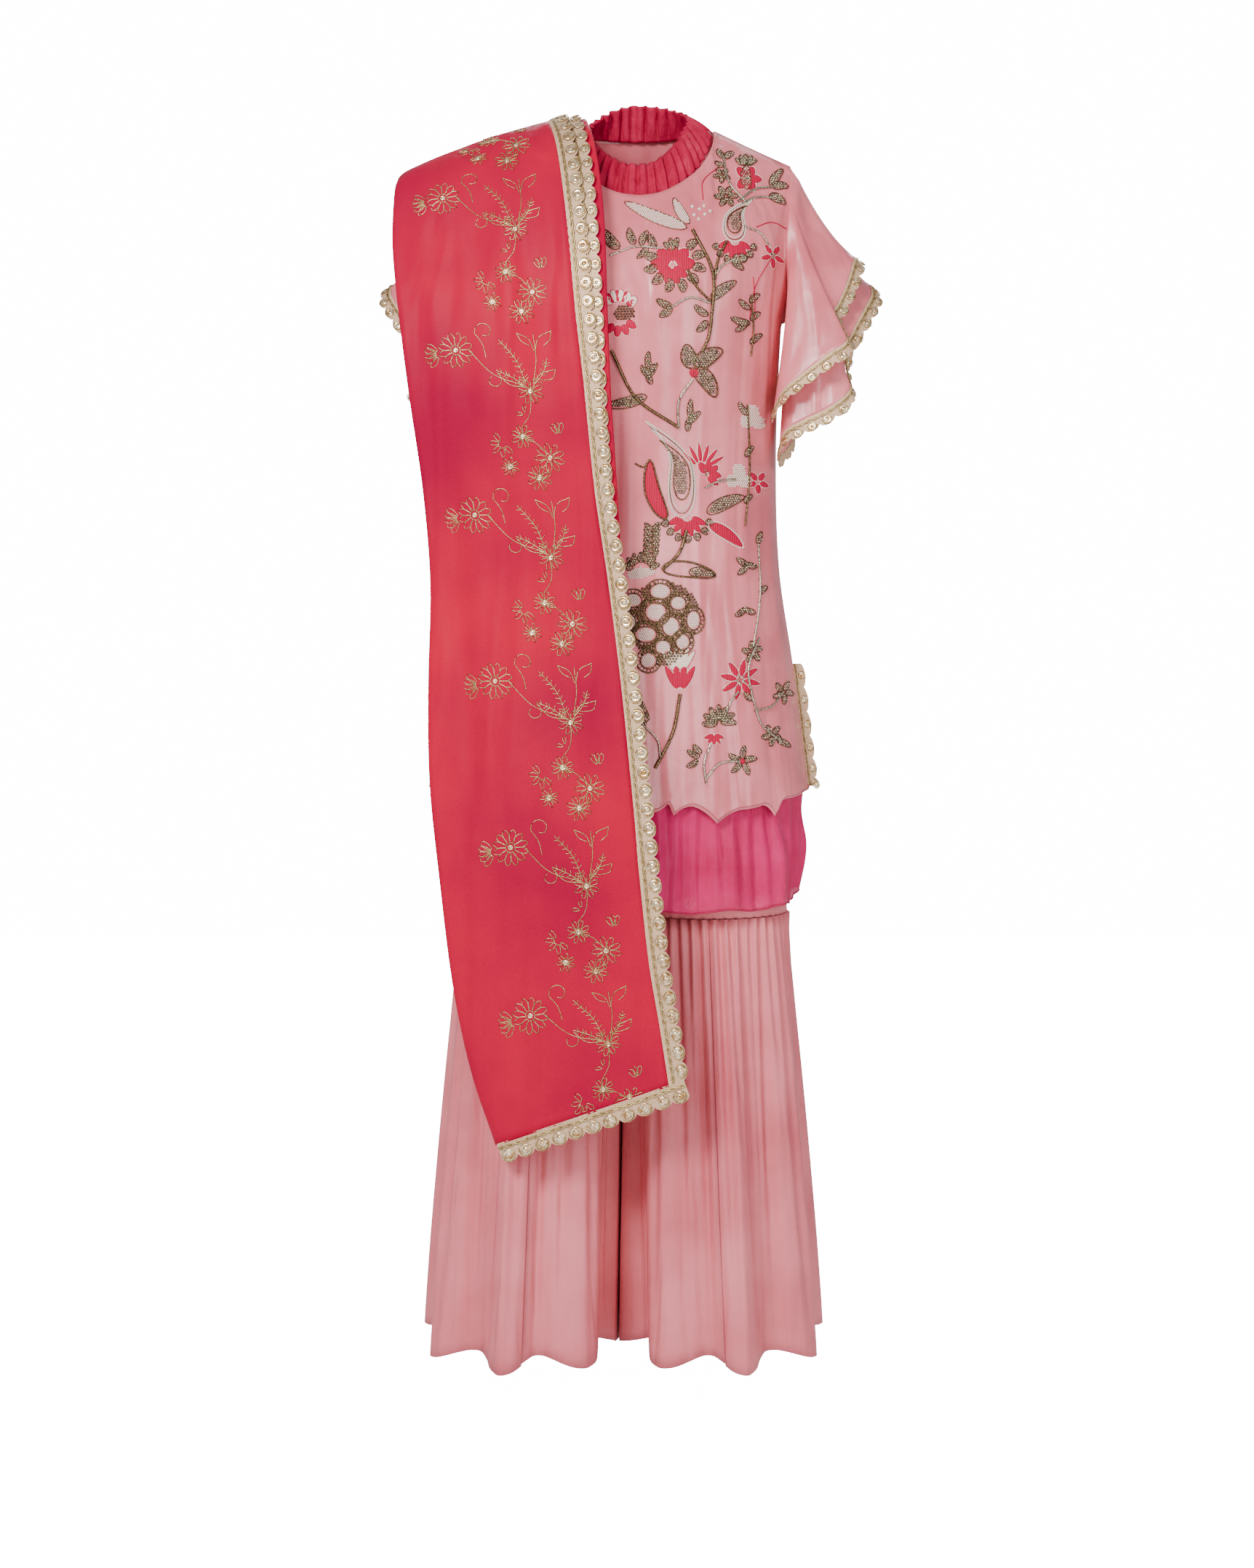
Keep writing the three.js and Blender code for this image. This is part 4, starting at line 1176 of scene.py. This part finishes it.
def satin(finish, outline, height=0.9):
    """Satin stitch: a smooth raised patch."""
    bm = threads[finish]
    rings = []
    for share, lift in ((1, 0.1), (0.86, height * 0.8), (0.45, height)):
        rings.append([bm.verts.new(on_kurta(x, z, lift)[0] * MM) for x, z in drawn_in(outline, share)])
    top = bm.verts.new(on_kurta(*drawn_in(outline, 0)[0], height)[0] * MM)
    count = len(outline)
    for i in range(count):
        j = (i + 1) % count
        for a, b in zip(rings, rings[1:]):
            bm.faces.new((a[i], a[j], b[j], b[i])).smooth = True
        bm.faces.new((rings[-1][i], rings[-1][j], top)).smooth = True


def sequin_leaf(root, tip, width):
    """A leaf filled with sequins and edged with cord."""
    tip = Vector(root).lerp(Vector(tip), 1.2)
    outline = leaf_line(root, tip, width * 1.3)
    bead_fill("sequin", outline, 2.9, 1.6, 0.9)
    laid("bronze", outline, 0.7, closed=True)


def petals(finish, x, z, reach, count, width, start=0, turn=360, inner=0.15):
    """Petals round a middle; each is a raised leaf."""
    for k in range(count):
        a = math.radians(start + turn * (k + 0.5) / count)
        way = Vector((math.cos(a), math.sin(a)))
        root, tip = (Vector((x, z)) + way * reach * share for share in (inner, 1))
        if finish == "sequin":
            sequin_leaf(root, tip, width)
        else:
            outline = leaf_line(root, tip, width, 0)
            satin(finish, outline)
            laid("blush" if finish == "pink" else "pink", outline, 0.4, closed=True)


STEMS = [
    # finish, radius, start x, z, end x, z, bow to the left of the way
    ("bronze", 1.9, 60, -126, 80, -230, 12), ("bronze", 1.9, 80, -230, 70, -262, 2),
    ("bronze", 1.5, 54, -172, 79, -206, -3), ("bronze", 1.6, 98, -138, 84, -182, -3),
    ("silver", 1.3, 26, -148, -32, -156, -6), ("silver", 1.3, 79, -208, 36, -214, -8),
    ("silver", 1.3, 83, -184, 106, -158, 5), ("silver", 1.5, 60, -292, 44, -346, -8),
    ("bronze", 2.0, -30, -262, 44, -346, -14), ("silver", 1.3, 118, -120, 148, -142, 6),
    ("silver", 1.4, 122, -92, 96, -34, 8), ("silver", 1.4, 112, -90, 156, -68, 6),
    ("silver", 1.3, 116, -92, 152, -82, 4), ("bronze", 2.0, 53, -460, 26, -504, 6),
    ("bronze", 2.0, 46, -642, 18, -724, 6), ("silver", 1.3, 4, -676, 24, -716, 7),
    ("silver", 1.3, 135, -474, 129, -590, 5), ("silver", 1.4, 136, -580, 128, -650, -9),
    ("silver", 1.4, 128, -648, 162, -698, -8), ("silver", 1.4, 130, -662, 164, -642, -6),
    ("silver", 1.4, 112, -640, 98, -662, -2), ("silver", 1.5, 75, -742, 80, -698, 5),
    ("silver", 1.4, 75, -736, 113, -718, 8), ("bronze", 1.1, 122, -318, 120, -454, 4),
    ("silver", 1.3, 74, -412, 109, -402, 3), ("bronze", 1.1, 125, -196, 126, -264, 3),
]
for finish, radius, x, z, end_x, end_z, bow in STEMS:
    laid(finish, arc((x, z), (end_x, end_z), bow), radius)
LEAVES = [
    # root x, z, tip x, z, width
    (80, -204, 104, -186, 10), (36, -213, 25, -223, 8), (36, -213, 22, -207, 7), (104, -160, 119, -156, 9),
    (104, -161, 115, -168, 7), (-5, -143, -10, -127, 8), (2, -144, 9, -130, 7), (18, -147, 14, -134, 8),
    (10, -146, 0, -157, 6), (-22, -148, -36, -130, 11), (77, -222, 64, -213, 7), (76, -228, 66, -238, 7),
    (9, -312, -30, -321, 11), (14, -299, 10, -284, 6), (12, -290, 4, -280, 6), (12, -290, 19, -278, 6),
    (11, -282, 11, -266, 6), (54, -350, 58, -334, 6), (57, -340, 67, -330, 6), (58, -336, 58, -318, 6),
    (76, -440, 112, -424, 13), (150, -68, 163, -48, 9), (152, -68, 168, -66, 9), (148, -79, 164, -86, 10),
    (98, -36, 107, -28, 7), (98, -36, 91, -26, 7), (98, -46, 88, -42, 6), (134, -500, 121, -496, 6),
    (122, -497, 112, -491, 6), (122, -498, 113, -507, 6), (135, -474, 139, -462, 6),
    (137, -530, 145, -523, 6), (132, -552, 120, -547, 6), (120, -547, 110, -554, 6),
    (124, -205, 134, -196, 6), (125, -212, 114, -204, 6), (125, -224, 135, -216, 6),
    (125, -228, 106, -224, 7), (122, -226, 110, -236, 6), (125, -250, 137, -240, 6),
    (123, -330, 114, -318, 6), (120, -376, 128, -366, 6), (119, -428, 127, -420, 6),
    (128, -650, 120, -642, 6), (157, -696, 171, -703, 6), (68, -712, 56, -706, 6), (66, -716, 55, -722, 6),
    (70, -708, 62, -700, 6), (10, -672, 0, -648, 9), (8, -676, -4, -668, 9), (123, -74, 123, -48, 11),
    (56, -506, 80, -510, 10),
]
for x, z, tip_x, tip_z, width in LEAVES:
    sequin_leaf((x, z), (tip_x, tip_z), width)
for step in range(6):
    z = -456 - 6 * step
    sequin_leaf((16, z - 4), (8 - step * 0.3, z + 3), 5)
    sequin_leaf((16, z - 4), (23 - step * 0.4, z + 3), 5)

# Pearl-beaded leaves, berries and clovers.
for root, tip, width in [((54, -124), (-16, -93), 17), ((56, -119), (39, -88), 13)]:
    outline = leaf_line(root, tip, width)
    bead_fill("pearl", outline, 2.3, 1.1, 0.95)
    laid("bronze", outline, 0.5, closed=True)
beads("pearl", [(62, -108), (68, -101), (67, -113), (74, -107), (73, -97), (80, -103), (60, -98)], 2.0)
for x, z in [(129, -334), (113, -401)]:
    for dx, dz in ((0, 9), (-7, -3), (7, -3)):
        bead_fill("pearl", round_line((x + dx, z + dz), 8, 8), 2.3, 1.1, 0.97)

# Paisleys, outlined twice in pearls and filled with cord and sequins.
for middle, long, wide, hook in (((107, -111), 54, 34, 24), ((48, -393), 106, 40, -40)):
    beads("pearl", flow(paisley(middle, long, wide, hook), 2.5, closed=True), 1.25)
    beads("pearl", flow(paisley(middle, long, wide, hook, 0.82), 2.5, closed=True), 1.1)
    laid("bronze", paisley(middle, long, wide, hook, 0.91), 0.45, closed=True)
    core = paisley(middle, long, wide, hook, 0.62)
    laid("bronze", core, 0.8, closed=True)
    bead_fill("sequin", core, 3.2, 1.6, 0.85)
# Fans of satin stitch with sequin points hang under them.
for x, z, reach in ((107, -137, 21), (54, -444, 24)):
    petals("sequin", x, z, reach * 1.2, 7, 7, 185, 170, 0.75)
    petals("pink", x, z, reach, 6, 11, 190, 160, 0.2)

# Blossoms: satin-stitched or sequinned petals, in whole rounds or half fans.
PETALS = [
    # finish, middle x, z, reach, count, width, first angle, turn, share of the reach left free inside
    ("pink", 123, -60, 18, 5, 15, 200, 320, 0.1), ("sequin", 123, -43, 13, 5, 6, 20, 140, 0.1),
    ("sequin", 40, -163, 33, 9, 9, 150, 270, 0.62), ("pink", 37, -170, 20, 4, 16, 190, 160, 0.0),
    ("sequin", 40, -150, 13, 3, 6, 60, 100, 0.1), ("pink", 151, -150, 15, 5, 8, 20),
    ("blush", -22, -220, 26, 5, 13, 30, 110, 0.45), ("pink", -22, -218, 24, 4, 12, 20, 120, 0.4),
    ("pink", -22, -224, 24, 4, 12, 220, 120, 0.4), ("pink", 70, -392, 30, 6, 6, 20, 130, 0.25),
    ("pink", 76, -398, 17, 5, 12, -60, 200, 0.1), ("pink", 135, -404, 14, 5, 9, 20),
    ("sequin", 94, -58, 9, 5, 5, 10), ("sequin", 98, -84, 12, 6, 6, 30),
    ("sequin", 3, -506, 20, 7, 6, 10, 160, 0.5), ("blush", 44, -622, 34, 6, 8, 50, 80, 0.2),
    ("pink", 46, -640, 34, 4, 11, 50, 80, 0.1), ("pink", 114, -627, 24, 8, 9, 10),
    ("silver", 114, -627, 8, 5, 3, 10), ("sequin", 90, -674, 17, 7, 7, -20, 220, 0.1),
    ("pink", 84, -688, 12, 5, 7, 180, 180, 0.0), ("sequin", 165, -642, 12, 5, 6, 165),
    ("sequin", 151, -690, 11, 5, 6, 151), ("sequin", 116, -718, 15, 5, 6, 116),
    ("sequin", 128, -596, 11, 5, 6, 128),
]
for row in PETALS:
    petals(*row)
for reach in (26, 20, 14, 8):
    petals("pink", 38, -168 + (26 - reach) * 0.4, reach, 5, reach * 0.8, -10, 200, 0.15)
beads("sequin", [(151, -150), (153, -148), (149, -148), (151, -153), (75, -397), (78, -395), (74, -393)], 1.6)
bead_fill("bronze", round_line((-16, -221), 12, 9), 3.2, 1.6, 1)
for tip in ((52, -255), (93, -259), (86, -311)):
    outline = leaf_line((63, -280), tip, 21)
    bead_fill("sequin", outline, 2.9, 1.6, 0.85)
    laid("bronze", outline, 1.0, closed=True)
satin("pink", round_line((62, -285), 6, 6), 1.6)
satin("pink", round_line((116, -718), 3.5, 3.5), 1.4)
red_leaf = leaf_line((30, -448), (12, -382), 20, 0.3)
satin("pink", red_leaf, 1.0)
laid("bronze", red_leaf, 1.1, closed=True)
laid("bronze", arc((12, -382), (-4, -386), 6), 1.1)
outline = leaf_line((78, -452), (118, -478), 17)
satin("pink", outline, 1.0)
beads("pearl", flow(outline, 2.6, True), 1.2)

# The seed pod: pearl-filled cells ringed in bronze, with bronze beads between
# them, and a pearl-filled and an open leaf over it.
POD_TOP = -506
PODS = [
    # middle x, z, half width, half height
    (24, -528, 12, 9), (-6, -538, 10, 8), (19, -551, 12, 11), (44, -541, 9, 8), (61, -560, 8, 11),
    (36, -567, 10, 11), (8, -576, 12, 9), (49, -584, 8, 9), (27, -590, 9, 8), (11, -605, 9, 9),
    (-10, -562, 7, 9),
]
pod_shape = flow(leaf_line((32, -517), (24, -612), 92, 0), 6, True)
between = []
for k in range(32 * 38):
    x, z = -28 + 3.4 * (k % 32) + 1.7 * (k // 32 % 2), -618 + 3 * (k // 32)
    clear = all(math.hypot((x - px) / (rx + 1), (z - pz) / (rz + 1)) > 1 for px, pz, rx, rz in PODS)
    if z < POD_TOP and clear and inside(x, z, pod_shape):
        between.append((x, z))
beads("bronze", between, 1.7)
for x, z, rx, rz in PODS:
    bead_fill("pearl", round_line((x, z), rx, rz), 2.3, 1.1, 0.8)
    laid("bronze", round_line((x, z), rx, rz), 0.9, closed=True)
    laid("bronze", round_line((x, z), rx + 4.5, rz + 4.5), 0.9, closed=True)
    for ends in zip(*(round_line((x, z), rx + r, rz + r, 18) for r in (0.8, 4))):
        laid("bronze", ends, 0.5)
bead_fill("pearl", leaf_line((-14, -512), (20, -506), 16), 2.3, 1.1, 0.95)
laid("bronze", leaf_line((26, -502), (86, -510), 20), 1.2, closed=True)

# Fine pink tendrils.
for x, z, end_x, end_z, bow in (
    (88, -50, 72, -90, -8), (150, -152, 124, -222, -6), (128, -176, 127, -244, 3), (132, -119, 168, -116, 6),
):
    laid("pink", arc((x, z), (end_x, end_z), bow), 0.55)

# Beads strung on dull metal look dark between their glints; the sequins run
# from near black to a pale tone that is a painted glint, and the pearls have a clear coat.
bronze_cord = metallic("bronze_bead_cord", ("#2c2014", "#8f7450"), 0.4, 1.4)
# The silver cord's near-white tone is a painted highlight over its grey bronze.
silver_cord_painted_highlight = metallic("silver_bead_cord_painted_highlight", ("#5e503c", "#e4d8c2"), 0.35, 1.4)
# The sequins' pale tone is a painted glint over near black.
sequin_painted_glint = metallic("sequin_with_painted_glint", ("#241c12", "#d4c4a4"), 0.25, 1.8)
pearl_bead, _, _ = finish_named(
    "pearl_bead", {"Base Color": linear("#e6dccd"), "Roughness": 0.28, "Coat Weight": 0.5}
)


def stitched(name, tones):
    """Satin-stitched floss: soft gloss, parallel threads drawn coarse enough to show."""
    lines = {"Scale": 160.0, "Distortion": 3.0, "Detail": 2.0}
    sockets = {"Roughness": 0.5, "Specular IOR Level": 0.15}
    return grained(name, tones, (0.1, 0.8), "ShaderNodeTexWave", lines, 0.3, sockets)


pink_floss = stitched("pink_floss", ("#9c002c", "#d00c44"))
blush_floss = stitched("blush_floss", ("#e6c0b0", "#f8e4d8"))
for finish, material in [
    ("bronze", bronze_cord),
    ("silver", silver_cord_painted_highlight),
    ("pearl", pearl_bead),
    ("pink", pink_floss),
    ("blush", blush_floss),
    ("sequin", sequin_painted_glint),
]:
    piece_from(threads[finish], f"kurta_{finish}_work", [material])

# Stole embroidery
# Gold thread chain-stitched in one spray of looped daisies, ferns, curls and
# leaves, repeated along the strip, with a small sequin in each blossom.
SPRAY_PITCH = 184
SPRAY_FROM_EDGE, SPRAY_REACH = 60, 110
LOOP_HALF = [(0.25, 0.4), (0.7, 1), (1, 0.3)]  # along, across a chain-stitched loop
gold_work = bmesh.new()
fall_line = even_steps(lambda t: stole_point(STATIONS * t, 100, 3 * LAYER), 400)


def on_stole(along, inward, lift=0.7):
    """A spot of the outer layer: up from the front hem, and in from its laced edge."""
    j = STATIONS * fall_line(min(max(along / fall_line.total, 0.002), 0.998))
    frame_at = stole_frame(j)
    s = frame_at[2] - frame_at[4] - inward
    return stole_point(j, s, 3 * LAYER + lift, frame_at), frame_at[1], frame_at[3]


def chain(origin, keys, closed=False, radius=0.55):
    """A chain-stitched line; keys are right and up from the spray's origin."""
    spots = flow(keys, 3.2, closed)
    if closed:
        spots.append(spots[0])
    along, inward = origin
    tube(gold_work, [on_stole(along + z, inward - x)[0] for x, z in spots], radius, sides=4)


def looped(origin, x, z, reach, count, start=0, turn=360):
    """Loops round a middle: a whole daisy, with its sequin, or part of one."""
    reach *= 1.12
    for k in range(count):
        a = math.radians(start + turn * (k + 0.5) / count)
        way, side = Vector((math.cos(a), math.sin(a))), Vector((-math.sin(a), math.cos(a)))
        sides = LOOP_HALF + [(t, -h) for t, h in LOOP_HALF[::-1]]
        loop = [Vector((x, z)) + way * reach * t + side * reach * 0.17 * h for t, h in sides]
        chain(origin, loop, closed=True)
    if turn == 360:
        middle, across, out = on_stole(origin[0] + z, origin[1] - x, 0.6)
        disc(gold_work, middle, across, out, 3.2, 1.2, material=1, sides=8)


def fern(origin, keys, leaflets):
    """A line with pairs of short leaflets."""
    spots = flow(keys, 3.2)
    chain(origin, keys)
    for k in range(leaflets):
        i = 1 + int(k * (len(spots) - 2) / leaflets)
        spot, way = Vector(spots[i]), (Vector(spots[i + 1]) - Vector(spots[i])).normalized()
        side = Vector((-way.y, way.x)) * (5.5 * (1 - 0.4 * k / leaflets))
        for hand in (-1, 1):
            chain(origin, [spot, spot + way * 3 + side * hand], radius=0.45)


SPRAY_STEMS = [
    # start right, up, end right, up, bow
    (-6, 6, -64, 46, 8), (-46, 38, -56, 66, -3), (-4, 4, -36, 22, 6), (4, 8, 10, 62, -3),
    (9, 44, -8, 64, -5), (-8, 64, 5, 50, -3), (10, 44, 30, 66, 6), (30, 66, 20, 50, 3), (3, 4, 30, 24, 6),
    (30, 24, 16, 12, 5), (0, -8, -14, -40, 4), (-14, -50, 12, -70, 3), (12, -84, 2, -100, 2),
]
SPRAY_CURLS = [((-56, 66), (-45, 68)), ((-36, 22), (-40, 13))]  # where a curl starts, and its middle
FERNS = [
    # the points of its line, pairs of leaflets
    ([(-4, 8), (-12, 34), (-30, 58)], 9),
    ([(-6, 6), (-20, 16), (-36, 24)], 6),
    ([(6, 8), (16, 20), (22, 36)], 6),
]


LOOPS = [
    # middle right, up, reach, count, first angle, turn
    (0, 0, 13, 8), (-80, 48, 18, 12), (-14, -50, 12, 8), (14, -74, 15, 9), (0, 88, 13, 8),
    (-32, 101, 10, 7), (-38, -58, 13, 5, 100, 240), (-98, 44, 17, 5, 130, 110), (26, -50, 14, 3, 60, 70),
    (-8, -26, 10, 2, 60, 150),
]


def curl(origin, start, middle):
    """A line that winds in about its middle."""
    spots = []
    for k in range(9):
        reach = (Vector(start) - Vector(middle)) * (1 - 0.07 * k)
        reach.rotate(Matrix.Rotation(-math.radians(38 * k), 2))
        spots.append(Vector(middle) + reach)
    chain(origin, spots)


for repeat in range(12):
    origin = (72 + SPRAY_PITCH * repeat, SPRAY_FROM_EDGE)
    if origin[0] + SPRAY_REACH > fall_line.total:
        break
    for x, z, end_x, end_z, bow in SPRAY_STEMS:
        chain(origin, arc((x, z), (end_x, end_z), bow))
    for start, middle in SPRAY_CURLS:
        curl(origin, start, middle)
    for keys, leaflets in FERNS:
        fern(origin, keys, leaflets)
    for row in LOOPS:
        looped(origin, *row)
piece_from(gold_work, "stole_gold_work", [gold_thread, gold_sequin])

# Knee embroidery
# Small satin-stitched blossoms on a silver vine along each knee band; they show
# through the organza.
draw = random.Random(5)
BLOSSOMS_ROUND = 14
BAND_TONES = 3
band_floss = [pink_floss, blush_floss, silver_cord_painted_highlight]
for label, side in (("left", 1), ("right", -1)):
    bm = bmesh.new()
    place = leg_place(side, band_place)

    def on_band(u, w, lift):
        return Vector(place(u % 1, w)) + outward(place, u % 1, w) * lift

    for k in range(BLOSSOMS_ROUND):
        u, w = (k + 0.5) / BLOSSOMS_ROUND, 0.5 + (0.18 if k % 2 else -0.2)
        middle = on_band(u, w, 0.7)
        out = outward(place, u, w)
        across = out.cross(Vector((0, 0, 1))).normalized()
        along = out.cross(across)
        reach = draw.uniform(8, 11)
        for petal in range(6):
            a = 2 * math.pi * (petal + draw.uniform(-0.1, 0.1)) / 6
            spot = middle + (across * math.cos(a) + along * math.sin(a)) * reach * 0.58
            disc(bm, spot, across, out, reach * 0.3, 0.9, BEAD, 7, material=k % BAND_TONES)
        disc(bm, middle, across, out, reach * 0.24, 1.4, BEAD, 7, material=2)
        vine = [on_band(u + t / BLOSSOMS_ROUND, w + (0.5 - w) * 2 * t, 0.6) for t in (0.25, 0.5, 0.75)]
        tube(bm, vine, 0.5, sides=4, material=2)
    piece_from(bm, f"knee_blossoms_{label}", band_floss)

# The boxes of the solids and of the dressed suit.
size = {"cad": [list(cad_low), list(cad_high)], "visual": [list(corner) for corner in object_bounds()]}
